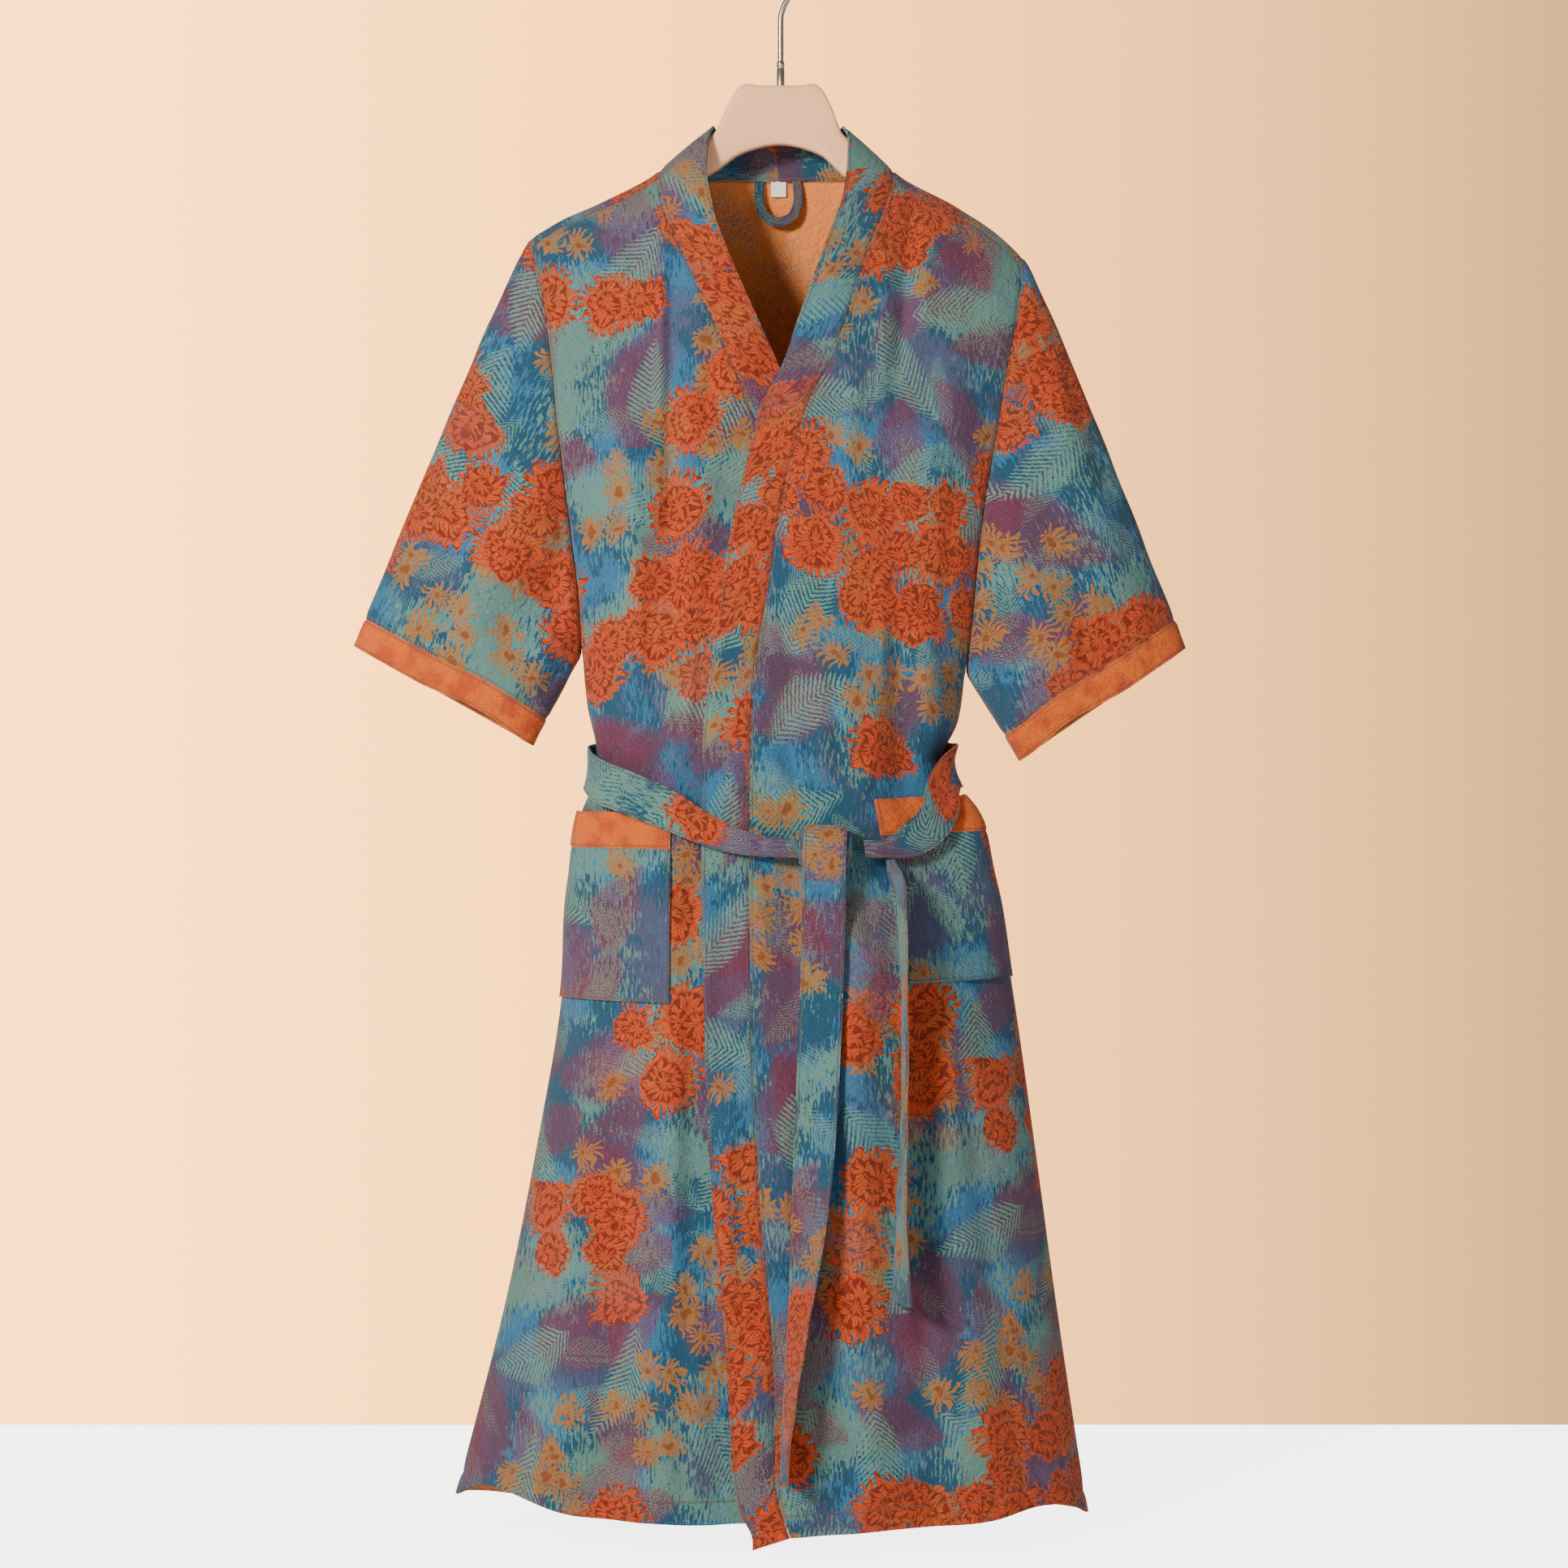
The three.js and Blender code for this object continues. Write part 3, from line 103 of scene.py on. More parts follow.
# Outer ridge of the shoulders, from one end to the other
RIDGE = table(
    "x z",
    (-213, -250), (-190, -236), (-154, -220), (-104, -193), (-78, -171), (-60, -157),
    (56, -157), (71, -170), (96, -193), (151, -224), (188, -249), (206, -266),
)

# Armhole seams above the underarm, as the x of each side at a height
ARMHOLE = table(
    "z left right",
    (-258, -213, 206), (-274, -209, 206), (-313, -201, 202), (-360, -195, 192),
    (-408, -190, 184), (-468, -183, 173), (-516, -177, 167), (-560, -172, 163),
    (-606, -170, 158),
)

# Sections of the body: side seams, and the depth of the middle of the front and back
BODY = table(
    "z left right front back",
    (-160, -170, 158, 60, 56), (-420, -170, 158, 62, 58), (-606, -170, 158, 62, 58),
    (-650, -166, 152, 60, 57), (-690, -158, 138, 57, 54), (-712, -159, 144, 56, 54),
    (-738, -170, 164, 60, 57), (-800, -181, 183, 69, 65), (-900, -188, 200, 79, 75),
    (-1020, -208, 217, 86, 83), (-1160, -236, 236, 92, 90), (-1255, -260, 250, 96, 96),
    (-1345, -284, 264, 99, 100),
)

# Hems, by share of the way across
FRONT_HEM = {
    "left": table(
        "across z",
        (0, -1330), (0.5, -1329), (0.68, -1325), (0.82, -1313), (0.92, -1309), (1, SIDE_HEM["left"]),
    ),
    "right": table(
        "across z",
        (0, -1341), (0.35, -1335), (0.65, -1332), (0.85, -1324), (0.94, -1328),
        (1, SIDE_HEM["right"]),
    ),
}
BACK_HEM = table(
    "across z",
    (0, SIDE_HEM["left"]), (0.08, -1340), (0.5, -1346), (0.9, -1345), (1, SIDE_HEM["right"]),
)

# Front bands: the seam that joins each to its front, and its free edge
BAND = {
    "right": table(
        "z seam free",
        (-1341, 8, -23), (-1318, 0, -34), (-1250, -5, -42), (-1180, -7, -46),
        (-1088, -16, -55), (-965, -22, -62), (-845, -26, -65), (-741, -26, -66),
        (-671, -25, -65), (-604, -19, -57), (-561, -12, -51), (-500, -3, -41),
        (-450, 7, -29), (-400, 22, -17), (-368, 38, 0), (-328, 54, 14), (-292, 65, 27),
        (-252, 79, 41), (-226, 89, 51), (-200, 96, 56), (-166, 96, 58),
    ),
    "left": table(
        "z seam free",
        (-1330, 28, 66), (-1088, 28, 66), (-741, 27, 66), (-602, 22, 61), (-526, 12, 50),
        (-463, -3, 34), (-408, -22, 15), (-360, -42, -4), (-311, -64, -26),
        (-267, -83, -45), (-236, -97, -56), (-216, -102, -60), (-200, -104, -63),
        (-166, -104, -62),
    ),
}

# How much higher a band's free edge is than its seam, square across the band
BAND_LIFT = table(
    "z lift",
    (-1341, -10), (-1300, -4), (-1200, 0), (-741, 0), (-620, 4), (-520, 7), (-440, 11),
    (-370, 15), (-300, 15), (-245, 16), (-222, 22), (-200, 35),
)

# Free edge of the bands round the back of the neck, at the neckline's shares
NECK_TOP = table(
    "share x y z",
    (0.29, -57.6, 0, -154), (0.33, -55.5, 13, -157), (0.38, -46, 23, -160),
    (0.44, -27, 29, -163), (0.5, -3, 31, -164), (0.56, 21, 29, -163), (0.62, 41, 23, -160),
    (0.67, 51, 13, -157), (0.71, 53.4, 0, -154),
)

# Back neckline over the ridge: drop is the depth below the ridge, negative in front
BACK_TOP = table(
    "share x drop",
    (0.25, -104, -8), (0.29, -102.5, 0), (0.33, -96, 9), (0.38, -80, 24), (0.44, -45, 46),
    (0.5, -3, 59), (0.56, 39, 48), (0.62, 72, 24), (0.67, 88, 9), (0.71, 94.5, 0),
    (0.75, 96, -8),
)

# Largest folds, and the creases between them. Each runs from its top to its foot.
FOLDS = {
    "front": table(
        "x_top z_top x_foot z_foot width depth",
        (106, -205, 96, -400, 12, -5), (152, -320, 132, -610, 20, 7),
        (98, -560, 106, -765, 15, -16), (127, -560, 122, -700, 15, 11),
        (58, -700, 78, -1360, 30, 8), (98, -880, 128, -1360, 26, -9),
        (138, -870, 180, -1360, 28, 9), (6, -560, 30, -1180, 18, -6),
        (-140, -330, -128, -620, 26, 6), (-96, -250, -92, -690, 16, -5),
        (-146, -600, -136, -750, 12, -12), (-88, -700, -98, -1360, 28, 8),
        (-126, -890, -150, -1360, 24, -8), (-152, -895, -205, -1360, 26, 8),
    ),
    "back": table(
        "x_top z_top x_foot z_foot width depth",
        (-118, -300, -112, -690, 24, -7), (-60, -380, -52, -690, 24, 6),
        (66, -340, 60, -690, 26, -6), (116, -330, 104, -690, 22, 6),
        (-96, -704, -160, -1370, 30, 10), (-56, -704, -88, -1370, 26, -10),
        (-10, -704, -14, -1370, 30, 11), (38, -704, 64, -1370, 26, -10),
        (86, -704, 142, -1370, 30, 10),
    ),
}
CREASES = {
    "front": table(
        "x_top z_top x_foot z_foot width depth",
        (-99, -240, -101, -420, 5, 2.2), (-91, -250, -94, -520, 6, -2.0),
        (-68, -300, -76, -480, 7, 1.4), (-160, -300, -150, -430, 8, -1.8),
        (-128, -420, -118, -585, 7, 1.8), (-44, -520, -60, -680, 8, 1.6),
        (-112, -560, -104, -690, 6, -2.2), (-74, -610, -80, -700, 6, 1.8),
        (112, -215, 100, -380, 5, -2.4), (90, -260, 84, -430, 6, 2.0),
        (128, -230, 122, -350, 6, 1.6), (64, -360, 44, -560, 9, 1.6),
        (150, -420, 136, -600, 7, -1.8), (84, -520, 88, -650, 6, 1.8),
        (40, -600, 52, -720, 7, -1.8), (118, -590, 112, -690, 5, -2.0),
        (138, -610, 130, -690, 6, 2.0), (10, -640, 22, -740, 7, 1.6),
        (-128, -760, -134, -860, 7, -1.4), (-60, -800, -64, -980, 9, 1.8),
        (-74, -900, -82, -1330, 8, -2.2), (-110, -930, -124, -1330, 9, 1.8),
        (-168, -930, -226, -1330, 9, -2.2), (-44, -960, -46, -1200, 8, 1.6),
        (20, -830, 26, -1060, 8, 1.8), (46, -880, 58, -1330, 9, -2.2),
        (92, -900, 108, -1200, 8, 2.0), (150, -930, 206, -1330, 9, -2.4),
        (118, -1010, 150, -1330, 9, 1.8), (4, -1180, 34, -1330, 8, 1.8),
        (190, -980, 232, -1330, 9, 1.8),
    ),
    "back": table(
        "x_top z_top x_foot z_foot width depth",
        (-150, -290, -140, -470, 8, 1.8), (-92, -320, -88, -560, 8, -1.8),
        (-30, -300, -26, -500, 9, 1.4), (30, -360, 26, -600, 9, 1.6),
        (92, -300, 88, -520, 8, 2.0), (140, -330, 130, -560, 8, -1.8),
        (-130, -560, -122, -680, 7, 2.2), (-84, -590, -80, -685, 6, -2.0),
        (-34, -600, -30, -685, 7, 1.8), (10, -590, 12, -685, 6, -1.8),
        (46, -600, 44, -685, 7, 2.0), (84, -580, 80, -685, 6, 1.8),
        (-124, -712, -200, -1340, 9, 2.2), (-76, -712, -124, -1300, 8, 2.0),
        (-34, -712, -52, -1340, 9, -2.2), (14, -712, 24, -1250, 8, -2.0),
        (62, -712, 104, -1340, 9, 2.2), (112, -715, 196, -1340, 9, -2.4),
        (-150, -900, -236, -1340, 9, -2.0), (136, -900, 230, -1330, 9, 2.0),
    ),
}

# Short slanting creases that the belt draws into the cloth above and below itself
WAIST_PULLS = {
    "front": table(
        "x_from z_from x_to z_to width depth",
        (-150, -665, -120, -700, 5, 1.8), (-126, -650, -96, -706, 5, -1.8),
        (-100, -668, -66, -728, 5, 1.6), (-40, -690, -8, -744, 5, -1.6),
        (-14, -680, 16, -742, 6, 1.6), (84, -690, 60, -740, 5, 1.8),
        (140, -640, 118, -690, 5, -1.6), (-140, -760, -122, -790, 6, 1.6),
        (-80, -790, -70, -850, 7, -1.6), (-20, -800, -12, -870, 7, 1.6),
        (70, -800, 76, -860, 6, -1.6), (20, -790, 22, -850, 6, 1.5),
    ),
    "back": table(
        "x_from z_from x_to z_to width depth",
        (-120, -640, -112, -680, 5, 1.8), (-60, -630, -66, -682, 5, -1.8),
        (-6, -640, -2, -684, 6, 1.8), (52, -634, 58, -682, 5, -1.6), (110, -640, 102, -682, 5, 1.8),
        (-110, -716, -116, -770, 6, -1.8), (-44, -716, -46, -760, 6, 1.6),
        (30, -716, 34, -770, 6, -1.8), (90, -716, 98, -765, 6, 1.8),
    ),
}

# Cuffs: the outer and inner corners of each mouth, and half its depth
CUFF = {
    "left": {"outer": (-365.0, -599.0), "inner": (-212.0, -684.0), "depth": 28.0},
    "right": {"outer": (346.0, -601.0), "inner": (205.0, -697.0), "depth": 27.0},
}

# Folds of a sleeve. turn is the way round in degrees, 0 on the shoulder's ridge and
# negative in front, and along is the share of the sleeve's length.
SLEEVE_FOLDS = {
    "left": table(
        "turn_from along_from turn_to along_to width depth",
        (-128, 0.04, -104, 0.78, 13, -8.5), (-104, 0.02, -82, 0.85, 11, 5.5),
        (-62, 0.1, -60, 0.9, 12, -2.6), (-34, 0.04, -44, 0.6, 9, 2.0),
        (-84, 0.45, -76, 1.05, 10, -2.2), (-140, 0.3, -122, 1.0, 9, 2.4),
        (-160, 0.12, -148, 0.7, 8, -2.4), (36, 0.06, 52, 0.8, 12, -3.0),
        (74, 0.1, 84, 0.95, 12, 3.2), (108, 0.06, 110, 0.85, 12, -4.0),
        (140, 0.12, 132, 0.9, 9, 2.6), (-20, 0.3, -26, 1.0, 9, -1.4),
    ),
    "right": table(
        "turn_from along_from turn_to along_to width depth",
        (-132, 0.04, -112, 0.7, 12, -7.0), (-108, 0.06, -94, 0.9, 11, 4.8),
        (-70, 0.02, -72, 0.7, 11, -2.4), (-46, 0.08, -52, 0.95, 11, 2.6),
        (-150, 0.25, -136, 0.95, 8, 2.4), (-24, 0.1, -34, 0.7, 9, -1.8),
        (-88, 0.5, -84, 1.05, 9, -2.0), (30, 0.04, 44, 0.7, 11, 2.8),
        (66, 0.1, 78, 0.95, 12, -3.2), (104, 0.05, 106, 0.85, 12, 3.6),
        (138, 0.1, 130, 0.9, 9, -2.8),
    ),
}

# Patch pockets: the x of the inner edge at the top and the foot, and heights
POCKET = {
    "left": {
        "in_top": -92, "in_foot": -93, "top": -742, "foot": -900, "slant": 1.5, "gape": 10.5, "peak": 3.2,
    },
    "right": {"in_top": 78, "in_foot": 106, "top": -731, "foot": -884, "slant": 3, "gape": 10, "peak": 6},
}
POCKET_EASE = 1.2
POCKET_BAND_SHARE = 0.19
POCKET_SIDE = 1.2

# Tie belt, from inside the knot round the left side, the back and the right side to
# the knot again. angle is 0 at the right side and -90 in front.
BELT = table(
    "angle z off width",
    (-77, -772, 19, 15), (-82, -772, 19, 15), (-87, -771, 18, 15), (-95, -767, 13, 19),
    (-103, -758, 10, 27), (-114, -742, 11, 34), (-128, -727, 15, 35), (-144, -716, 16, 35),
    (-158, -708, 12, 34), (-170, -705, 7, 35), (-180, -703, 7, 35), (-190, -701, 7, 35),
    (-204, -699, 7, 35), (-222, -696, 8, 35), (-245, -695, 8, 35), (-270, -695, 8, 35),
    (-295, -695, 8, 35), (-318, -696, 8, 35), (-336, -698, 7, 35), (-350, -700, 7, 35),
    (-360, -700, 8, 35), (-370, -702, 12, 35), (-384, -704, 18, 34), (-391, -711, 19, 34),
    (-399, -728, 16.5, 35), (-411, -752, 16, 34), (-421, -765, 18, 27), (-428, -771, 19, 15),
    (-433, -771, 19, 15),
)
KNOT = {"x": 37.0, "z": -771.0, "off": 17.0, "wide": 44.0, "high": 15.5, "deep": 12.0}
KNOT_RINGS = table(
    "along size",
    (-0.5, 0.86), (-0.28, 0.99), (0, 1), (0.28, 1), (0.5, 0.88),
)

# Free ends of the belt: off is from the front, face turns the width edge-on
TAILS = {
    "long": table(
        "x z off face width",
        (38, -754.4, 12, 0, 32), (37.5, -752.2, 17, 0, 34), (37, -752.4, 24, 0, 36),
        (37, -757, 30, 0, 36), (36.5, -765, 32.5, 0, 36), (36, -782, 32, 1, 36),
        (36, -806, 23, 2, 36), (35.5, -840, 12, 3, 36), (34, -890, 9, 5, 36),
        (31, -960, 9, 10, 36), (28, -1015, 12, 18, 36), (24, -1070, 16.5, 32, 36),
        (19, -1120, 19, 48, 35), (13, -1170, 20, 62, 35), (6, -1230, 22, 75, 35),
        (1.5, -1290, 23, 84, 35),
    ),
    "short": table(
        "x z off face width",
        (91, -780, 16, 45, 11), (95, -788, 18, 60, 16), (98, -800, 23, 70, 24),
        (100, -825, 27, 80, 32), (101, -870, 28, 84, 35), (102, -940, 24, 85, 35),
        (101, -1010, 22, 85, 35), (99, -1070, 22, 80, 35), (99, -1110, 22, 73, 35),
        (99, -1146, 22, 67, 35),
    ),
}

# Loop and tag inside the back neck
LOOP = table(
    "x z",
    (-18, -196), (-19, -207), (-18, -218), (-13, -227), (-2, -231), (9, -227), (14, -218),
    (15, -207), (14, -196),
)
LOOP_STRIP = 8.0
LOOP_WALL = 1.6
TAG = {"x": -2.0, "top": -196.0, "width": 13.0, "height": 13.0, "wall": 0.8}

# Hanger, as upright sections along its length, and its hook
HANGER = table(
    "x foot depth power",
    (-209, -272, 6.5, 2.1), (-203, -281, 8, 2.1), (-190, -282, 9.5, 2.1), (-154, -267, 11, 2.1),
    (-104, -232, 11, 2.2), (-76, -208, 8.5, 2.6), (-60, -196, 7.5, 3.4), (-55, -193, 7, 4),
    (-48, -188, 7, 5), (-37, -180, 7, 5), (-34, -178.5, 7, 5), (-18, -173, 7, 5),
    (-1, -170.5, 7, 5), (16, -173, 7, 5), (32, -178.5, 7, 5), (35, -180, 7, 5),
    (45, -189, 7, 5), (51, -195, 7, 4), (56, -199, 7.5, 3.4), (70, -209, 8.5, 2.6),
    (96, -232, 11, 2.2), (151, -271, 11, 2.1), (186, -293, 9.5, 2.1), (198, -294, 8, 2.1),
    (203, -286, 6.5, 2.1),
)
HANGER_TOP = table(
    "x z",
    (-76, -175), (-60, -163), (-55, -158), (-48, -142), (-37, -123), (-34, -120.4),
    (-18, -120), (-1, -120), (16, -120), (32, -120.4), (35, -123), (45, -142), (51, -158),
    (56, -164), (70, -176),
)
HANGER_NECK = (-66.0, 62.0)
HANGER_REST = 2.85
HANGER_BAND_REST = 7.4
HOOK = {"wire": 2.5, "bend": 22.0, "from": -52.0, "to": 205.0, "foot": -98.9}
FERRULE = {"radius": 3.4, "top": -99.0, "foot": -119.9}


def smooth(t):
    """The cubic that rises from 0 to 1 with level ends."""
    c = np.clip(t, 0, 1)
    return c * c * (3 - 2 * c)


def lerp(a, b, t):
    return a + (b - a) * t


def spline(keys, values, places):
    """Cubic Hermite pieces through values at rising keys, worked out at places.

    The slope at a key is the mean of the chords on both sides, each weighted by the
    other one's span.
    """
    places = np.clip(places, keys[0], keys[-1])
    found = np.clip(np.searchsorted(keys, places, side="left") - 1, 0, len(keys) - 2)
    more = (1,) * (values.ndim - 1)
    span = np.diff(keys).reshape(-1, *more)
    chord = np.diff(values, axis=0) / span
    inner = (chord[:-1] * span[1:] + chord[1:] * span[:-1]) / (span[:-1] + span[1:])
    slope = np.concatenate([chord[:1], inner, chord[-1:]])
    step = span[found]
    t = ((places - keys[found]) / np.diff(keys)[found]).reshape(places.shape + more)
    t2 = t * t
    t3 = t2 * t
    return (
        values[found] * (2 * t3 - 3 * t2 + 1)
        + values[found + 1] * (3 * t2 - 2 * t3)
        + slope[found] * step * (t3 - 2 * t2 + t)
        + slope[found + 1] * step * (t3 - t2)
    )


def at(rows, key, column, value):
    """A table's column at a value of its key."""
    order = np.argsort(rows[key])
    return spline(rows[key][order], rows[column][order], np.asarray(value, float))


def ridge(x):
    return at(RIDGE, "x", "z", x)


def side_length(side):
    return SHOULDER[side][1] - SIDE_HEM[side]


def underarm(side):
    return SHOULDER[side][1] - UNDERARM_SHARE * side_length(side)


def edge(side, z):
    """The x of a side at a height: the armhole above the underarm, the side seam below."""
    shoulder_x, shoulder_z = SHOULDER[side]
    under = underarm(side)
    share = (z - under) / (shoulder_z - under)
    armhole = at(ARMHOLE, "z", side, lerp(UNDERARM_Z, shoulder_z, share))
    below = at(BODY, "z", side, z + (UNDERARM_Z - under) * smooth((z + 760) / 120))
    x = np.where(z >= under, armhole, below)
    return np.where(z > shoulder_z - SHOULDER_SEAM_DROP - 1e-6, shoulder_x, x)


def spread(side, z):
    """How far the body's round section reaches past the armhole seam."""
    share = (z - underarm(side)) / (SHOULDER[side][1] - underarm(side))
    return ARMHOLE_SPREAD * np.sqrt(np.clip(share, 0, 1))


def folds(rows, x, z, fade):
    """Sum of upright folds: each a bell across its slanting centre line."""
    total = np.zeros(np.broadcast(x, z).shape)
    for x_top, z_top, x_foot, z_foot, width, deep in zip(*rows.values()):
        along = np.clip((z_top - z) / (z_top - z_foot), 0, 1)
        ends = smooth((z_top - z) / fade) * smooth((z - z_foot) / fade)
        off = (x - lerp(x_top, x_foot, along)) / width
        total = total + deep * ends * np.exp(-off * off)
    return total


def pulls(rows, x, z):
    """Sum of short creases: each a bell round a segment, fading to both ends."""
    total = np.zeros(np.broadcast(x, z).shape)
    for x0, z0, x1, z1, width, deep in zip(*rows.values()):
        run = np.array([x1 - x0, z1 - z0])
        length = math.hypot(*run)
        t = ((x - x0) * run[0] + (z - z0) * run[1]) / length**2
        off = ((x - x0) * run[1] - (z - z0) * run[0]) / length / width
        total = total + deep * np.exp(-off * off) * smooth(2.5 * t) * smooth(2.5 * (1 - t))
    return total


def rumple(x, z):
    """The soft unevenness of hung gauze: a few long crossed waves under half a millimetre."""
    return (
        0.32 * np.sin(x / 7.3 + 1.7 * np.sin(z / 61))
        + 0.3 * np.sin(z / 13.1 + 2.1 * np.sin(x / 37))
        + 0.22 * np.sin((x + z) / 9.7 + 1.3 * np.sin(z / 83))
    )


def depth(face, x, z):
    """Depth of the cloth in front of or behind the plane through both side seams.

    A superellipse between the seams, rounded down from the shoulder's ridge, times
    the section's depth with its folds and creases.
    """
    left = edge("left", z) - spread("left", z)
    right = edge("right", z) + spread("right", z)
    off = np.abs(x - (left + right) / 2) / ((right - left) / 2)
    round_off = (1 - np.minimum(off, 1) ** SIDE_POWER) ** SIDE_ROUND
    down = np.clip((ridge(x) - z) / SHOULDER_ROLL, 0, 1)
    top = np.sqrt(1 - (1 - down) ** 2)
    fine = folds(CREASES[face], x, z, FOLD_FADE / 2) + pulls(WAIST_PULLS[face], x, z)
    relief = folds(FOLDS[face], x, z, FOLD_FADE) + CREASE_DEPTH * (fine + rumple(x, z))
    return round_off * top * (at(BODY, "z", face, z) + relief)


def tuck(x, z):
    """How far the under front lies behind the over front's free edge."""
    free = at(BAND["right"], "z", "free", z)
    return UNDER_DEPTH * smooth((x - free + UNDER_EASE) / (UNDER_EASE - 4))


def on_front(side, x, z):
    """A place on a front panel, as an array of points."""
    behind = tuck(x, z) if side == "left" else 0.0
    return np.stack(np.broadcast_arrays(x, behind - depth("front", x, z), z), -1)


def front_point(side, across, down):
    """A front at a share of the way from its band seam to its side, and down its side."""
    shoulder_x, shoulder_z = SHOULDER[side]
    neck_x, neck_z = NECK_POINT[side]
    hem = FRONT_HEM[side]
    hem_z = hem["z"][0]
    first = SHOULDER_SEAM_DROP / side_length(side)
    below = (down - first) / (1 - first)
    edge_z = shoulder_z - down * side_length(side)
    seam_z = lerp(neck_z, hem_z, below)
    edge_x = edge(side, edge_z)
    x = lerp(at(BAND[side], "z", "seam", seam_z), edge_x, across)
    straight = lerp(neck_z, shoulder_z - SHOULDER_SEAM_DROP, across)
    top_x = lerp(neck_x, shoulder_x, across)
    bow = (ridge(top_x) - SHOULDER_SEAM_DROP - straight) * (1 - below) ** 3
    level = lerp(hem_z, SIDE_HEM[side], across)
    dip = (at(hem, "across", "z", across) - level) * below**6
    return on_front(side, x, lerp(seam_z, edge_z, across) + bow + dip)


def back_top(across):
    """The x of the back's top edge and its drop below the ridge, at a share across."""
    left, right = NECK_SHARE
    x = at(BACK_TOP, "share", "x", across)
    drop = at(BACK_TOP, "share", "drop", across)
    on_left = lerp(SHOULDER["left"][0], NECK_POINT["left"][0], across / left)
    on_right = lerp(SHOULDER["right"][0], NECK_POINT["right"][0], (1 - across) / (1 - right))
    x = np.where(across <= left, on_left, np.where(across >= right, on_right, x))
    on_seam = (across <= left) | (across >= right)
    return x, np.where(on_seam, -SHOULDER_SEAM_DROP, drop)


def back_point(across, down):
    """The back at a share across it and down its sides; above 0 it rolls to the front."""
    across, down = np.broadcast_arrays(np.asarray(across, float), np.asarray(down, float))
    first = SHOULDER_SEAM_DROP / side_length("left")
    rows = (down + first) / (1 + first)
    top_x, top_drop = back_top(across)
    hem = at(BACK_HEM, "across", "z", across)
    drop = lerp(top_drop, ridge(top_x) - hem, rows)
    z = ridge(top_x) - np.abs(drop)
    left, right = (
        edge(side, SHOULDER[side][1] - np.abs(down) * side_length(side)) for side in SIDES
    )
    left_x, right_x = SHOULDER["left"][0], SHOULDER["right"][0]
    shift = lerp(left - left_x, right - right_x, (top_x - left_x) / (right_x - left_x))
    outer = (1 - BACK_MIDDLE) / 2 / NECK_SHARE[0]
    middle = BACK_MIDDLE / (NECK_SHARE[1] - NECK_SHARE[0])
    spaced = np.where(
        across < NECK_SHARE[0],
        outer * across,
        np.where(across > NECK_SHARE[1], 1 - outer * (1 - across), 0.5 + (across - 0.5) * middle),
    )
    from_corner = np.abs(NECK_SHARE[0] - np.abs(across - 0.5)) / NECK_FAN_REACH
    fan = NECK_FAN * smooth(rows / NECK_FAN_ROWS) * np.clip(1 - from_corner, 0, 1)
    x = lerp(
        top_x + shift + np.sign(across - 0.5) * fan,
        lerp(left, right, spaced),
        smooth(rows / 0.4),
    )
    y = np.where(drop < 0, -depth("front", x, z), depth("back", x, z))
    return np.stack([x, y, z], -1)


def into_body(points):
    """Unit vectors into the body, from the slopes of its depth at points on it."""
    x, y, z = np.moveaxis(points, -1, 0)
    step = 0.5

    def slope(dx, dz):
        ahead = np.where(y < 0, depth("front", x + dx, z + dz), depth("back", x + dx, z + dz))
        behind = np.where(y < 0, depth("front", x - dx, z - dz), depth("back", x - dx, z - dz))
        return (ahead - behind) / (2 * step)

    out = np.where(np.abs(y) < 0.02, 0, -np.sign(y))
    return unit(np.stack([slope(step, 0), out, slope(0, step)], -1))


def unit(vectors):
    length = np.linalg.norm(vectors, axis=-1, keepdims=True)
    return vectors / np.maximum(length, 1e-9)


def square_to(points, outward=None, ring=False):
    """Unit vectors square to a grid, into the cloth: the cross product of its two ways.

    outward is the way out at the grid's middle. A ring's vectors point to its axis.
    """
    across = np.gradient(points, axis=1)
    if ring:
        ends = points[:, 1] - points[:, -2]
        across[:, 0] = ends
        across[:, -1] = ends
    vectors = unit(np.cross(across, np.gradient(points, axis=0)))
    if ring:
        inward = points.mean(1, keepdims=True) - points
        return vectors * np.sign((vectors * inward).sum(-1).mean())
    middle = vectors[vectors.shape[0] // 2, vectors.shape[1] // 2]
    return -vectors if middle @ np.array(outward, float) > 0 else vectors


def run(points, axis):
    """Length along a grid's rows or columns, from its first place."""
    steps = np.linalg.norm(np.diff(points, axis=axis), axis=-1)
    start = np.zeros_like(np.take(steps, [0], axis))
    return np.concatenate([start, np.cumsum(steps, axis)], axis)


def refined(points, count):
    """Rows put in between a grid's rows, on a spline along their mean length."""
    keys = run(points, 0).mean(1)
    return spline(keys, points, np.linspace(0, keys[-1], count))


def valley(distance, deep=SEAM_VALLEY, reach=SEAM_REACH):
    """How far cloth sinks beside a seam: a bell over the distance from it."""
    return deep * np.exp(-((distance / reach) ** 2))


def put_attribute(mesh, name, values):
    made = mesh.attributes.new(name, "FLOAT", "POINT")
    made.data.foreach_set("value", np.asarray(values, np.float32).ravel())


